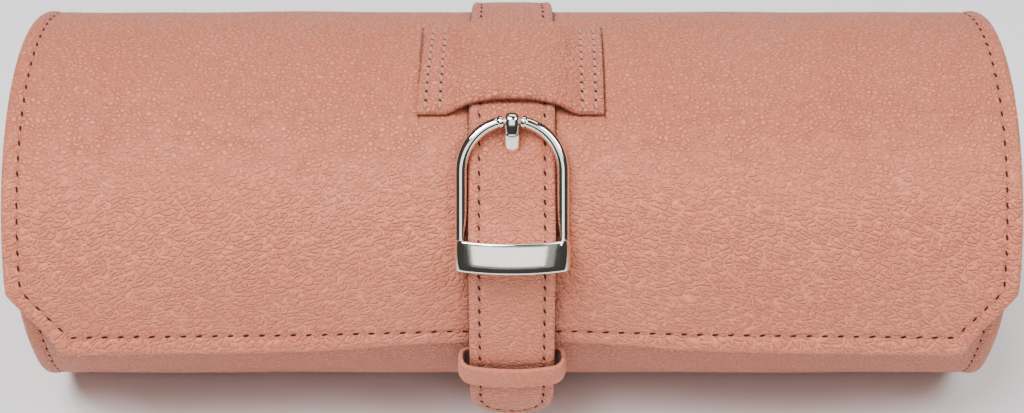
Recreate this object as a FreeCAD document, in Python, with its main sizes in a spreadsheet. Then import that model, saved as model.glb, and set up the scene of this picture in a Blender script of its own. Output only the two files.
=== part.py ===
"""Watch roll: a leather trough and flap on boards, with loose cushions, closed by a strap and a buckle.

Millimetres. X runs along the roll, the front is -Y and +Z is up. The origin is the middle of the flat foot.
Angles are measured about the roll's axis, from the front (0) over the top (90) to the back (180).
"""
import math
import os

import FreeCAD
import Part
import Sketcher

Vector = FreeCAD.Vector
doc = FreeCAD.newDocument("watch_roll")

# Driving dimensions
SIZES = [
    # the roll and its layers
    ("roll_length", 231.0),
    ("roll_radius", 45.0),
    ("foot_flat", 1.4),
    ("leather", 1.2),
    ("board", 1.0),
    ("lining", 0.6),
    ("glue_gap", 0.05),
    ("edge_turn", 1.5),
    ("rim_angle", 4.0),
    ("hinge_angle", 190.0),
    ("fold_angle", 12.0),
    # the flap's front, a wider arc that laps over the trough
    ("flap_blend_angle", 70.0),
    ("flap_swell", 6.4),
    ("flap_end_angle", 1.0),
    ("flap_corner_across", 11.5),
    ("flap_corner_along", 14.0),
    # end walls and dividers
    ("end_inset", 2.5),
    ("end_board", 3.0),
    ("seat_gap", 0.3),
    ("divider", 3.0),
    ("divider_rise", 14.0),
    ("divider_corner", 9.0),
    # cushions
    ("cushion_side_room", 11.1),
    ("cushion_rise", 13.6),
    ("cushion_side_radius", 20.0),
    ("cushion_draw", 3.5),
    ("cushion_cover", 1.0),
    ("cushion_gap", 1.3),
    # closing strap
    ("strap_width", 19.6),
    ("strap_layer", 1.05),
    ("strap_start_angle", 152.0),
    ("lay_gap", 0.2),
    # loop that guides the strap over the top
    ("loop_clear", 2.79),
    ("loop_width", 42.0),
    ("loop_height", 30.5),
    ("loop_top_arch", 5.5),
    ("loop_bottom_arch", 2.7),
    ("loop_flange", 6.5),
    ("loop_side_slack", 0.8),
    ("loop_leather", 1.3),
    ("loop_slack", 0.45),
    # buckle
    ("bar_angle", 23.4),
    ("bar_diameter", 1.9),
    ("bar_lift", 1.2),
    ("buckle_stand", 1.55),
    ("buckle_side_slack", 0.7),
    ("wire", 2.7),
    ("arch_above_bar", 18.8),
    ("neck", 1.5),
    ("neck_length", 3.9),
    ("plate_height", 6.9),
    ("plate_thickness", 1.5),
    ("plate_bow", 1.1),
    ("plate_corner", 2.6),
    ("plate_slack", 0.35),
    # prong
    ("prong_width", 3.3),
    ("prong_wall", 1.1),
    ("prong_clearance", 0.06),
    ("prong_reach", 7.0),
    ("prong_dip", 1.3),
    ("slot_clearance", 0.35),
    # buckle strap and the keeper on it
    ("chape", 1.2),
    ("chape_eye", 0.8),
    ("chape_root_angle", -37.0),
    ("anchor_length", 11.0),
    ("run_angle", -4.0),
    ("run_length", 11.0),
    ("keeper_drop", 3.0),
    ("keeper_height", 6.0),
    ("keeper_leather", 1.3),
    ("keeper_slack", 0.35),
    ("keeper_side_slack", 1.3),
    ("keeper_corner", 2.9),
    ("tip_reach", 14.5),
    ("tip_curl", 3.6),
]
BAYS = 4

sheet = doc.addObject("Spreadsheet::Sheet", "Sizes")
for row, (alias, number) in enumerate(SIZES, start=1):
    sheet.set(f"A{row}", alias)
    sheet.set(f"B{row}", str(number))
    sheet.setAlias(f"B{row}", alias)
doc.recompute()
size = {alias: float(sheet.get(alias)) for alias, _ in SIZES}
nodes = []


# Helpers for bodies, sketches and expressions
def value(expression):
    """The number that an expression on the sheet gives."""
    result = sheet.evalExpression(expression)
    return float(getattr(result, "Value", result))


def S(alias):
    """A sheet cell as it is named in an expression."""
    return f"Sizes.{alias}"


# The axis lies one radius above the foot, less what the foot flattens. The flap's front is rounder than the roll.
AXIS_HEIGHT = f"({S('roll_radius')} - {S('foot_flat')})"
FLAP_FRONT = f"({S('roll_radius')} + {S('flap_swell')})"
axis_up = value(AXIS_HEIGHT)


def new_body(label, on_axis=True):
    """A body whose own origin lies on the roll's axis, or at the foot."""
    body = doc.addObject("PartDesign::Body", label)
    if on_axis:
        body.setExpression("Placement.Base.z", AXIS_HEIGHT)
    nodes.append(body)
    return body


def new_sketch(body, name, role):
    sketch = body.newObject("Sketcher::SketchObject", name)
    plane = next(f for f in body.Origin.OriginFeatures if f.Role == role)
    sketch.AttachmentSupport = [(plane, "")]
    sketch.MapMode = "FlatFace"
    return sketch


def dimension(sketch, kind, places, expression):
    """One driving constraint, bound to an expression."""
    number = value(expression)
    index = sketch.addConstraint(Sketcher.Constraint(kind, *places, number))
    sketch.setExpression(f"Constraints[{index}]", expression)


def pin_corner(sketch, geometry, end, x, y):
    """Holds one corner of an outline at a place given by two expressions."""
    for kind, expression, axis in (("DistanceX", x, -2), ("DistanceY", y, -1)):
        if expression == "0":
            sketch.addConstraint(Sketcher.Constraint("PointOnObject", geometry, end, axis))
        else:
            dimension(sketch, kind, (-1, 1, geometry, end), expression)


def arc_between(start, end, radius, turns_left):
    """The shorter arc from start to end. Sketch arcs run anticlockwise."""
    if not turns_left:
        start, end = end, start
    chord = end - start
    rise = math.sqrt(radius**2 - (chord.Length / 2) ** 2)
    side = Vector(-chord.y, chord.x, 0).normalize()
    centre = (start + end) * 0.5 + side * rise
    angles = [math.atan2(p.y - centre.y, p.x - centre.x) for p in (start, end)]
    return Part.ArcOfCircle(Part.Circle(centre, Vector(0, 0, 1), radius), *angles)


def outline(body, name, role, corners):
    """A closed profile. A corner is (x, y) or (x, y, radius, turns_left), the arc that leads to the next corner."""
    sketch = new_sketch(body, name, role)
    points = [Vector(value(c[0]), value(c[1]), 0) for c in corners]
    ends = []
    for i, corner in enumerate(corners):
        start, end = points[i], points[(i + 1) % len(points)]
        if len(corner) == 2:
            sketch.addGeometry(Part.LineSegment(start, end))
            ends.append((1, 2))
        else:
            sketch.addGeometry(arc_between(start, end, value(corner[2]), corner[3]))
            ends.append((1, 2) if corner[3] else (2, 1))
    for i, corner in enumerate(corners):
        before = (i - 1) % len(corners)
        sketch.addConstraint(Sketcher.Constraint("Coincident", before, ends[before][1], i, ends[i][0]))
        pin_corner(sketch, i, ends[i][0], corner[0], corner[1])
        if len(corner) > 2:
            dimension(sketch, "Radius", (i,), corner[2])
    return sketch


def pad(body, sketch, length, symmetric=True):
    feature = body.newObject("PartDesign::Pad", "pad")
    feature.Profile = sketch
    feature.setExpression("Length", length)
    if symmetric:
        feature.SideType = "Symmetric"
    body.Tip = feature
    return feature


def polar(radius, angle):
    """Sketch coordinates of a point about the roll's axis, as expressions."""
    return f"-({radius}) * cos(({angle}) * 1 deg)", f"({radius}) * sin(({angle}) * 1 deg)"


def front_arc(inset, angle):
    """A point on the flap's front arc, about that arc's own centre, as expressions."""
    across = f"({FLAP_FRONT} - ({inset}))"
    shift = S("flap_swell")
    blend = f"{S('flap_blend_angle')} * 1 deg"
    return (
        f"-({across} * cos(({angle}) * 1 deg) - {shift} * cos({blend}))",
        f"{across} * sin(({angle}) * 1 deg) - {shift} * sin({blend})",
    )


def flap_face(angle):
    """Distance from the axis to the flap's outer face in front of the blend, as an expression."""
    shift = S("flap_swell")
    turn = f"(({angle}) - {S('flap_blend_angle')}) * 1 deg"
    return f"(sqrt({FLAP_FRONT}^2 - ({shift} * sin({turn}))^2) - {shift} * cos({turn}))"


# Layers of the wrap, from outside in: name, inset of the outer face, thickness
glue = S("glue_gap")
under_leather = f"({S('leather')} + {glue})"
under_board = f"({under_leather} + {S('board')} + {glue})"
bore_inset = f"({under_board} + {S('lining')})"
LAYERS = [
    ("leather", "0", S("leather"), S("roll_length")),
    ("board", under_leather, S("board"), f"{S('roll_length')} - 2 * {S('edge_turn')}"),
    ("lining", under_board, S("lining"), f"{S('roll_length')} - 2 * {S('edge_turn')}"),
]
half_fold = f"{S('fold_angle')} / 2"
trough_back = f"{S('hinge_angle')} + {half_fold}"
flap_back = f"{S('hinge_angle')} - {half_fold}"


def foot_corner(inset, side):
    """Where a layer's round wall meets its flat foot, on one side (-1 front, 1 back)."""
    round_wall = f"({S('roll_radius')} - ({inset}))"
    flat = f"({AXIS_HEIGHT} - ({inset}))"
    return f"{side} * sqrt({round_wall}^2 - {flat}^2)", f"-{flat}"


def trough_layer(name, inset, thickness, length):
    """Front rim, under the roll and up to the hinge at the back, with a flat foot."""
    outer, inner = f"{S('roll_radius')} - ({inset})", f"{S('roll_radius')} - ({inset}) - {thickness}"
    deep = f"({inset}) + {thickness}"
    body = new_body(f"base_{name}")
    section = outline(body, "section", "YZ_Plane", [
        (*polar(outer, S("rim_angle")), outer, True),
        foot_corner(inset, -1),
        (*foot_corner(inset, 1), outer, True),
        polar(outer, trough_back),
        (*polar(inner, trough_back), inner, False),
        foot_corner(deep, 1),
        (*foot_corner(deep, -1), inner, False),
        polar(inner, S("rim_angle")),
    ])
    pad(body, section, length)


def flap_layer(name, inset, thickness, length):
    """From the hinge over the top, then down the front on the wider arc, with its two corners cut off."""
    outer, inner = f"{S('roll_radius')} - ({inset})", f"{S('roll_radius')} - ({inset}) - {thickness}"
    deep = f"({inset}) + {thickness}"
    blend, end = S("flap_blend_angle"), S("flap_end_angle")
    body = new_body(f"flap_{name}")
    section = outline(body, "section", "YZ_Plane", [
        (*polar(outer, flap_back), outer, True),
        (*polar(outer, blend), f"{FLAP_FRONT} - ({inset})", True),
        front_arc(inset, end),
        (*front_arc(deep, end), f"{FLAP_FRONT} - ({deep})", False),
        (*polar(inner, blend), inner, False),
        polar(inner, flap_back),
    ])
    pad(body, section, length)
    doc.recompute()
    whole = body.Shape.Volume
    low = front_arc(inset, end)[1]
    for side in (-1, 1):
        edge = f"{side} * ({length}) / 2"
        corner = outline(body, f"corner_{'left' if side < 0 else 'right'}", "XZ_Plane", [
            (f"{edge} - {side} * {S('flap_corner_across')}", low),
            (edge, low),
            (edge, f"{low} + {S('flap_corner_along')}"),
        ])
        cut = body.newObject("PartDesign::Pocket", "corner_cut")
        cut.Profile = corner
        cut.Type = "ThroughAll"
        cut.Reversed = True
        body.Tip = cut
    doc.recompute()
    if not body.Shape.Volume < whole:
        raise ValueError(f"the corners of flap_{name} were not cut")


for layer in LAYERS:
    trough_layer(*layer)
for layer in LAYERS:
    flap_layer(*layer)

# Leather fold at the back, where the wrap bends when the flap opens
fold = new_body("wrap_fold")
fold_in = f"{S('roll_radius')} - {S('leather')}"
fold_sketch = outline(fold, "section", "YZ_Plane", [
    (*polar(S("roll_radius"), trough_back), S("roll_radius"), True),
    polar(S("roll_radius"), flap_back),
    (*polar(fold_in, flap_back), fold_in, False),
    polar(fold_in, trough_back),
])
pad(fold, fold_sketch, S("roll_length"))

# End walls and dividers, seated in the trough's bore
wall_inset = f"({bore_inset} + {S('seat_gap')})"
wall_radius = f"({S('roll_radius')} - {wall_inset})"
end_face = f"({S('roll_length')} / 2 - {S('end_inset')})"
end_stack = f"({S('leather')} + {glue} + {S('end_board')})"


def end_wall(label, side, thickness, outer_face):
    """A round wall with the trough's flat foot. outer_face is the distance of its outer face from mid-length."""
    body = new_body(label)
    section = outline(body, "section", "YZ_Plane", [
        foot_corner(wall_inset, -1),
        (*foot_corner(wall_inset, 1), wall_radius, True),
        (*polar(wall_radius, "90"), wall_radius, True),
    ])
    pad(body, section, thickness)
    body.setExpression("Placement.Base.x", f"{side} * ({outer_face} - {thickness} / 2)")


for side, hand in ((-1, "left"), (1, "right")):
    end_wall(f"end_leather_{hand}", side, S("leather"), end_face)
    end_wall(f"end_board_{hand}", side, S("end_board"), f"({end_face} - {S('leather')} - {glue})")

inside_length = f"(2 * ({end_face} - {end_stack}))"
bay = f"(({inside_length} - {BAYS - 1} * {S('divider')}) / {BAYS})"
pitch = f"({bay} + {S('divider')})"


def divider_wall(number):
    """A board between two bays, level across the top, with rounded top corners."""
    body = new_body(f"divider_{number}")
    shoulder = f"sqrt({wall_radius}^2 - {S('divider_rise')}^2)"
    section = outline(body, "section", "YZ_Plane", [
        foot_corner(wall_inset, -1),
        (*foot_corner(wall_inset, 1), wall_radius, True),
        (shoulder, S("divider_rise")),
        (f"-({shoulder})", S("divider_rise"), wall_radius, True),
    ])
    plate = pad(body, section, S("divider"))
    doc.recompute()
    rise = size["divider_rise"]
    corners = [
        f"Edge{i}"
        for i, edge in enumerate(plate.Shape.Edges, start=1)
        if all(abs(v.Z - rise) < 1e-6 for v in edge.Vertexes) and abs(edge.tangentAt(edge.FirstParameter).x) > 0.9
    ]
    rounding = body.newObject("PartDesign::Fillet", "top_corners")
    rounding.Base = (plate, corners)
    rounding.setExpression("Radius", S("divider_corner"))
    body.Tip = rounding
    body.setExpression("Placement.Base.x", f"({number} - {BAYS} / 2) * {pitch}")


for number in range(1, BAYS):
    divider_wall(number)

# Where the buckle and the loop lie on the roll. The buckle is a chord across it, standing off a little at the top to clear the strap.
bar_radius = f"({S('bar_diameter')} / 2)"
bar_reach = f"({flap_face(S('bar_angle'))} + {S('lay_gap')} + {S('bar_lift')} + {S('chape_eye')} + {bar_radius})"
buckle_inside = f"({S('strap_width')} + {S('buckle_side_slack')})"
rail = f"(({buckle_inside} + {S('wire')}) / 2)"
apex = f"({S('arch_above_bar')} + {rail})"
BUCKLE_ANGLE = f"({S('bar_angle')} + asin(({apex} / 2 - {S('buckle_stand')}) / {bar_reach}) / (1 deg))"
BUCKLE_TURN = f"(90 - {BUCKLE_ANGLE}) * 1 deg"
buckle_tilt = 90 - value(BUCKLE_ANGLE)
apex_ahead = f"atan(({apex} / 2 + {S('buckle_stand')}) / sqrt({bar_reach}^2 - ({apex} / 2 - {S('buckle_stand')})^2))"
loop_ahead = f"asin(({S('loop_height')} / 2 + {S('loop_clear')}) / {S('roll_radius')})"
LOOP_ANGLE = f"({BUCKLE_ANGLE} + ({apex_ahead} + {loop_ahead}) / (1 deg))"
LOOP_TURN = f"(90 - {LOOP_ANGLE}) * 1 deg"
loop_tilt = 90 - value(LOOP_ANGLE)

# Loop on top of the flap: an arched strip of leather, turned about the roll's axis and cut square
strap_thickness = f"(2 * {S('strap_layer')} + {glue})"
loop_foot = f"({S('roll_radius')} + {S('lay_gap')})"
loop_crown = f"({S('roll_radius')} + {S('lay_gap')} + {strap_thickness} + {S('loop_slack')})"
loop_edge = f"({S('loop_width')} / 2)"
loop_inner = f"({loop_edge} - {S('loop_flange')})"
outer_foot = f"({loop_foot} + {S('loop_leather')})"
outer_crown = f"({loop_crown} + {S('loop_leather')})"
loop_outer_inner = f"({loop_inner} + {S('loop_leather')} / 3)"
loop_shoulder = f"({S('strap_width')} / 2 + {S('loop_side_slack')})"
loop_outer_shoulder = f"({loop_shoulder} + {S('loop_leather')} / 3)"
blank = new_body("loop_blank")
nodes.remove(blank)
blank_sketch = outline(blank, "section", "XZ_Plane", [
    (f"-{loop_edge}", loop_foot),
    (f"-{loop_inner}", loop_foot),
    (f"-{loop_shoulder}", loop_crown),
    (loop_shoulder, loop_crown),
    (loop_inner, loop_foot),
    (loop_edge, loop_foot),
    (loop_edge, outer_foot),
    (loop_outer_inner, outer_foot),
    (loop_outer_shoulder, outer_crown),
    (f"-{loop_outer_shoulder}", outer_crown),
    (f"-{loop_outer_inner}", outer_foot),
    (f"-{loop_edge}", outer_foot),
])
turn = blank.newObject("PartDesign::Revolution", "turn")
turn.Profile = blank_sketch
turn.ReferenceAxis = (next(f for f in blank.Origin.OriginFeatures if f.Role == "X_Axis"), [""])
turn.Angle = 60
turn.Midplane = True
blank.Tip = turn
blank.Placement.Rotation = FreeCAD.Rotation(Vector(1, 0, 0), loop_tilt)
blank.setExpression("Placement.Rotation.Angle", LOOP_TURN)
cutter = new_body("loop_cutter")
nodes.remove(cutter)
loop_top, loop_low = f"({S('loop_height')} / 2)", f"-({S('loop_height')} / 2)"


def arch_radius(rise):
    """Radius of an arc as wide as the loop with a given rise."""
    return f"({loop_edge}^2 + {rise}^2) / (2 * {rise})"


cutter_sketch = outline(cutter, "outline", "XY_Plane", [
    (f"-{loop_edge}", loop_low, arch_radius(S("loop_bottom_arch")), False),
    (loop_edge, loop_low),
    (loop_edge, loop_top, arch_radius(S("loop_top_arch")), False),
    (f"-{loop_edge}", loop_top),
])
pad(cutter, cutter_sketch, f"2 * {S('roll_radius')}", symmetric=False)
cutter.Placement.Rotation = FreeCAD.Rotation(Vector(1, 0, 0), loop_tilt)
cutter.setExpression("Placement.Rotation.Angle", LOOP_TURN)
loop = doc.addObject("Part::Common", "strap_loop")
loop.Base = blank
loop.Tool = cutter
nodes.append(loop)

# Buckle: one casting with an arch, a bar for its strap and a bowed plate. Its own Y runs up the strap and Z away from it.


def place_on_bar(body):
    """Sets a body's origin on the buckle's bar and its Z square to the buckle."""
    y, z = polar(bar_reach, S("bar_angle"))
    body.Placement.Rotation = FreeCAD.Rotation(Vector(1, 0, 0), buckle_tilt)
    body.setExpression("Placement.Rotation.Angle", BUCKLE_TURN)
    body.setExpression("Placement.Base.y", y)
    body.setExpression("Placement.Base.z", f"{AXIS_HEIGHT} + {z}")


rail_foot = f"-({S('plate_height')} / 2 - 1)"
frame = new_body("buckle_frame", on_axis=False)
path = new_sketch(frame, "path", "XY_Plane")
rail_x, arch_y, foot_y = value(rail), size["arch_above_bar"], value(rail_foot)
path.addGeometry(Part.LineSegment(Vector(-rail_x, foot_y, 0), Vector(-rail_x, arch_y, 0)))
path.addGeometry(
    Part.ArcOfCircle(Part.Circle(Vector(0, arch_y, 0), Vector(0, 0, 1), rail_x), 0, math.pi)
)
path.addGeometry(Part.LineSegment(Vector(rail_x, arch_y, 0), Vector(rail_x, foot_y, 0)))
path.addConstraint(Sketcher.Constraint("Coincident", 0, 2, 1, 2))
path.addConstraint(Sketcher.Constraint("Coincident", 1, 1, 2, 1))
pin_corner(path, 0, 1, f"-{rail}", rail_foot)
pin_corner(path, 0, 2, f"-{rail}", S("arch_above_bar"))
pin_corner(path, 2, 1, rail, S("arch_above_bar"))
pin_corner(path, 2, 2, rail, rail_foot)
dimension(path, "DistanceY", (-1, 1, 1, 3), S("arch_above_bar"))
wire_sketch = new_sketch(frame, "wire_section", "XZ_Plane")
wire_sketch.AttachmentOffset = FreeCAD.Placement(Vector(0, 0, -foot_y), FreeCAD.Rotation())
wire_sketch.setExpression("AttachmentOffset.Base.z", f"-({rail_foot})")
wire_sketch.addGeometry(Part.Circle(Vector(-rail_x, 0, 0), Vector(0, 0, 1), size["wire"] / 2))
pin_corner(wire_sketch, 0, 3, f"-{rail}", "0")
dimension(wire_sketch, "Radius", (0,), f"{S('wire')} / 2")
arch = frame.newObject("PartDesign::AdditivePipe", "arch")
arch.Profile = wire_sketch
arch.Spine = path
frame.Tip = arch
doc.recompute()

bar_sketch = new_sketch(frame, "bar_section", "YZ_Plane")
bar_sketch.addGeometry(Part.Circle(Vector(0, 0, 0), Vector(0, 0, 1), value(bar_radius)))
bar_sketch.addConstraint(Sketcher.Constraint("Coincident", 0, 3, -1, 1))
dimension(bar_sketch, "Radius", (0,), bar_radius)
pad(frame, bar_sketch, f"2 * {rail}")
doc.recompute()

strap_over = f"({bar_radius} + {S('chape_eye')} + {S('lay_gap')} / 2)"
shoulder_in = f"({strap_over} + {strap_thickness} + {S('plate_slack')})"
shoulder_out = f"({shoulder_in} + {S('plate_thickness')})"
leg_in = f"({buckle_inside} / 2 + {S('plate_slack')} / 2)"
leg_out = f"({buckle_inside} / 2 + {S('wire')})"
leg_foot = f"-({S('wire')} / 2 - 0.3)"
crown_edge = f"({leg_out} - 0.8 * {S('plate_corner')})"
leg_top = f"({shoulder_out} - 0.9 * {S('plate_corner')})"


def bow(half):
    """Radius of the plate's bow over a half-width."""
    return f"({half}^2 + {S('plate_bow')}^2) / (2 * {S('plate_bow')})"


plate_sketch = outline(frame, "plate_section", "XZ_Plane", [
    (leg_out, leg_foot),
    (leg_out, leg_top, S("plate_corner"), True),
    (crown_edge, shoulder_out, bow(crown_edge), True),
    (f"-{crown_edge}", shoulder_out, S("plate_corner"), True),
    (f"-{leg_out}", leg_top),
    (f"-{leg_out}", leg_foot),
    (f"-{leg_in}", leg_foot),
    (f"-{leg_in}", shoulder_in, bow(leg_in), False),
    (leg_in, shoulder_in),
    (leg_in, leg_foot),
])
pad(frame, plate_sketch, S("plate_height"))
doc.recompute()
neck_sketch = outline(frame, "neck_side", "XY_Plane", [
    (f"-{S('neck_length')} / 2", f"{apex} + {S('neck')} / 2"),
    (f"{S('neck_length')} / 2", f"{apex} + {S('neck')} / 2"),
    (f"{S('neck_length')} / 2", f"{apex} + {S('wire')}"),
    (f"-{S('neck_length')} / 2", f"{apex} + {S('wire')}"),
])
neck_axis = neck_sketch.addGeometry(
    Part.LineSegment(Vector(-size["neck_length"], value(apex), 0), Vector(size["neck_length"], value(apex), 0)), True
)
pin_corner(neck_sketch, neck_axis, 1, f"-{S('neck_length')}", apex)
pin_corner(neck_sketch, neck_axis, 2, S("neck_length"), apex)
neck = frame.newObject("PartDesign::Groove", "neck")
neck.Profile = neck_sketch
neck.ReferenceAxis = (neck_sketch, ["Axis0"])
neck.Angle = 360
frame.Tip = neck
place_on_bar(frame)

# Prong: curled round the arch's neck, its short finger reaching down into the strap's hole
prong = new_body("prong", on_axis=False)
eye_radius = f"({S('neck')} / 2 + {S('prong_clearance')})"
curl_radius = f"({eye_radius} + {S('prong_wall')})"
reach, dip = S("prong_reach"), S("prong_dip")
prong_sketch = outline(prong, "side", "YZ_Plane", [
    (apex, curl_radius),
    (f"{apex} - 0.62 * {reach}", f"0.72 * {curl_radius} - 0.4 * {dip}", f"0.55 * {reach}", True),
    (f"{apex} - {reach}", f"-0.25 * {curl_radius} - {dip}", f"0.12 * {reach}", True),
    (f"{apex} - 0.84 * {reach}", f"-0.55 * {curl_radius} - {dip}"),
    (f"{apex} - 0.55 * {reach}", f"-0.15 * {curl_radius} - 0.4 * {dip}"),
    (f"{apex} - 0.9 * {curl_radius}", f"-sqrt(1 - 0.9^2) * {curl_radius}", curl_radius, True),
    (f"{apex} + {curl_radius}", "0", curl_radius, True),
])
pad(prong, prong_sketch, S("prong_width"))
doc.recompute()
eye_sketch = new_sketch(prong, "eye", "YZ_Plane")
eye_sketch.addGeometry(Part.Circle(Vector(value(apex), 0, 0), Vector(0, 0, 1), value(eye_radius)))
pin_corner(eye_sketch, 0, 3, apex, "0")
dimension(eye_sketch, "Radius", (0,), eye_radius)
eye = prong.newObject("PartDesign::Pocket", "eye_hole")
eye.Profile = eye_sketch
eye.Type = "ThroughAll"
eye.SideType = "Symmetric"
prong.Tip = eye
place_on_bar(prong)


# Straps. Their side views are smooth curves through stations, given as (forward, up) from the roll's axis.
def at(radius, angle):
    """A station at a distance from the axis, in a direction in degrees."""
    return Vector(radius * math.cos(math.radians(angle)), radius * math.sin(math.radians(angle)), 0)


def smooth(points):
    curve = Part.BSplineCurve()
    curve.interpolate([Vector(p) for p in points])
    return curve


STRAP_STEPS = 150


def ribbon(curve, near, far, width):
    """A strip of leather between two distances outside a curve, spread evenly to both sides of mid-length."""
    first, last = curve.FirstParameter, curve.LastParameter
    faces = []
    for offset in (near, far):
        points = []
        for step in range(STRAP_STEPS + 1):
            u = first + (last - first) * step / STRAP_STEPS
            tangent = curve.tangent(u)[0]
            outward = Vector(-tangent.y, tangent.x, 0)
            points.append(curve.value(u) + outward * offset)
        faces.append([
            Vector(-width / 2, -p.x, axis_up + p.y) for p in points
        ])
    inner, outer = (smooth(points).toShape() for points in faces)
    ends = [Part.makeLine(faces[0][i], faces[1][i]) for i in (0, -1)]
    side = Part.Face(Part.Wire([inner, ends[1], outer, ends[0]]))
    return side.extrude(Vector(width, 0, 0))


def flap_reach(angle):
    """Distance from the axis to the flap's outer face at an angle."""
    if angle >= size["flap_blend_angle"]:
        return size["roll_radius"]
    return value(flap_face(str(angle)))


bar = at(value(bar_reach), size["bar_angle"])
run_out = at(1, size["run_angle"])
run_down = Vector(run_out.y, -run_out.x, 0)
flap_tip = Vector(-value(front_arc("0", S("flap_end_angle"))[0]), value(front_arc("0", S("flap_end_angle"))[1]), 0)
run_start = flap_tip + run_out * size["lay_gap"]
run_end = run_start + run_down * size["run_length"]
gap = size["lay_gap"]
strap_in = size["chape"] + gap

# Buckle strap: sewn to the trough, up over the flap's edge and round the buckle's bar
eye_out = value(bar_radius) + size["chape_eye"]
bar_stand = bar.Length - flap_reach(size["bar_angle"])
RUN_STEPS = 4


def along_run(out):
    """Stations down the straight stretch below the flap's edge, at a distance outside its inner line."""
    return [run_start + run_out * out + run_down * (size["run_length"] * i / RUN_STEPS) for i in range(RUN_STEPS + 1)]


CHAPE_LIFTS = ((1.5, 0.0), (-3.0, -0.05), (-8.0, -0.45), (-12.0, -0.8))
chape_stations = [
    at(flap_reach(size["bar_angle"] + a) + max(gap, bar_stand - eye_out + drop), size["bar_angle"] + a)
    for a, drop in CHAPE_LIFTS
]
chape_stations += [at(flap_reach(a) + gap, a) for a in (6.0, 1.0)]
chape_stations += along_run(0)
root = size["chape_root_angle"]
on_base = [at(size["roll_radius"] + gap + lift, root + a) for a, lift in ((6.0, 0.9), (3.0, 0.1), (0.0, 0.0))]
chape_stations += [(run_end + on_base[0]) * 0.5 + at(1, root / 2) * 0.9]
chape_stations += on_base
chape_curve = smooth(chape_stations)
chape_strip = ribbon(chape_curve, 0, size["chape"], size["strap_width"])


def world(point, x=0.0):
    """A (forward, up) station as a point of the model."""
    return Vector(x, -point.x, axis_up + point.y)


def cross_bar(radius, width):
    """A round solid along X about the buckle's bar."""
    return Part.makeCylinder(radius, width, world(bar, -width / 2), Vector(1, 0, 0))


def on_buckle(shape):
    """Moves a shape made about the bar in the buckle's own frame into place."""
    shape.Placement = FreeCAD.Placement(world(bar), FreeCAD.Rotation(Vector(1, 0, 0), buckle_tilt))
    return shape


eye_roll = cross_bar(eye_out, size["strap_width"])
bar_room = cross_bar(value(bar_radius) + size["slot_clearance"] / 5, size["strap_width"] * 2)
chape_shape = chape_strip.fuse(eye_roll).cut(bar_room).removeSplitter()
chape = doc.addObject("Part::Feature", "buckle_strap")
chape.Shape = chape_shape.Solids[0] if len(chape_shape.Solids) == 1 else chape_shape
nodes.append(chape)

anchor_turn = math.degrees(size["anchor_length"] / size["roll_radius"])
ANCHOR_STEPS = 4
anchor_curve = smooth([
    at(size["roll_radius"] + size["glue_gap"], size["chape_root_angle"] - 0.5 - anchor_turn * i / ANCHOR_STEPS)
    for i in range(ANCHOR_STEPS + 1)
])
anchor = doc.addObject("Part::Feature", "buckle_strap_anchor")
anchor.Shape = ribbon(anchor_curve, 0, size["chape"], size["strap_width"])
nodes.append(anchor)

# Closing strap: sewn to the flap's back, over the top, through the loop and the buckle, to a rounded tip
lap = gap + strap_in
over_eye = value(strap_over)
TOP_STEPS = 10
LEAVES_FLAP = 16.6
RISES_TO_BAR = 9.6
strap_stations = []
for step in range(TOP_STEPS + 1):
    lies_until = size["bar_angle"] + LEAVES_FLAP
    turned = size["strap_start_angle"] + (lies_until - size["strap_start_angle"]) * step / TOP_STEPS
    strap_stations.append(at(flap_reach(turned) + gap, turned))
rising = size["bar_angle"] + RISES_TO_BAR
strap_stations += [at(flap_reach(rising) + gap + 0.9, rising)]
strap_stations += [bar + at(over_eye, size["bar_angle"] + a) for a in (24.0, 0.0, -18.0)]
strap_stations += [at(flap_reach(a) + lap + more, a) for a, more in ((14.0, 0.7), (8.0, 0.12), (2.0, 0.0))]
strap_stations += along_run(strap_in)
tip = run_end + run_out * (strap_in - size["tip_curl"]) + run_down * size["tip_reach"]
strap_stations += [tip]
strap_curve = smooth(strap_stations)
hole_width = size["prong_width"] + 2 * size["slot_clearance"]
HOLE_LENGTH = 4.4
HOLE_DEPTH = 8.0
strap_hole = on_buckle(Part.makeBox(
    hole_width,
    HOLE_LENGTH,
    HOLE_DEPTH,
    Vector(-hole_width / 2, value(apex) - size["prong_reach"] - size["slot_clearance"], -HOLE_DEPTH + 2),
))
tip_tangent = (tip - run_end - run_out * strap_in).normalize()
tip_frame = FreeCAD.Placement(world(tip), FreeCAD.Rotation(
    Vector(1, 0, 0), Vector(0, -tip_tangent.x, tip_tangent.y), Vector(0, 0, 1), "XYZ"
))
tip_half = size["strap_width"] / 2
tip_block = Part.makeBox(4 * tip_half, 2 * tip_half, 3 * tip_half, Vector(-2 * tip_half, -tip_half, -1.5 * tip_half))
tip_round = Part.makeCylinder(tip_half, 3 * tip_half, Vector(0, -tip_half, -1.5 * tip_half))
tip_cut = tip_block.cut(tip_round)
tip_cut.Placement = tip_frame


def strap_layer(label, near):
    layer = ribbon(strap_curve, near, near + size["strap_layer"], size["strap_width"])
    feature = doc.addObject("Part::Feature", label)
    feature.Shape = layer.cut(strap_hole).cut(tip_cut)
    nodes.append(feature)


strap_layer("strap_backing", 0)
strap_layer("strap_face", size["strap_layer"] + size["glue_gap"])

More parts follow.
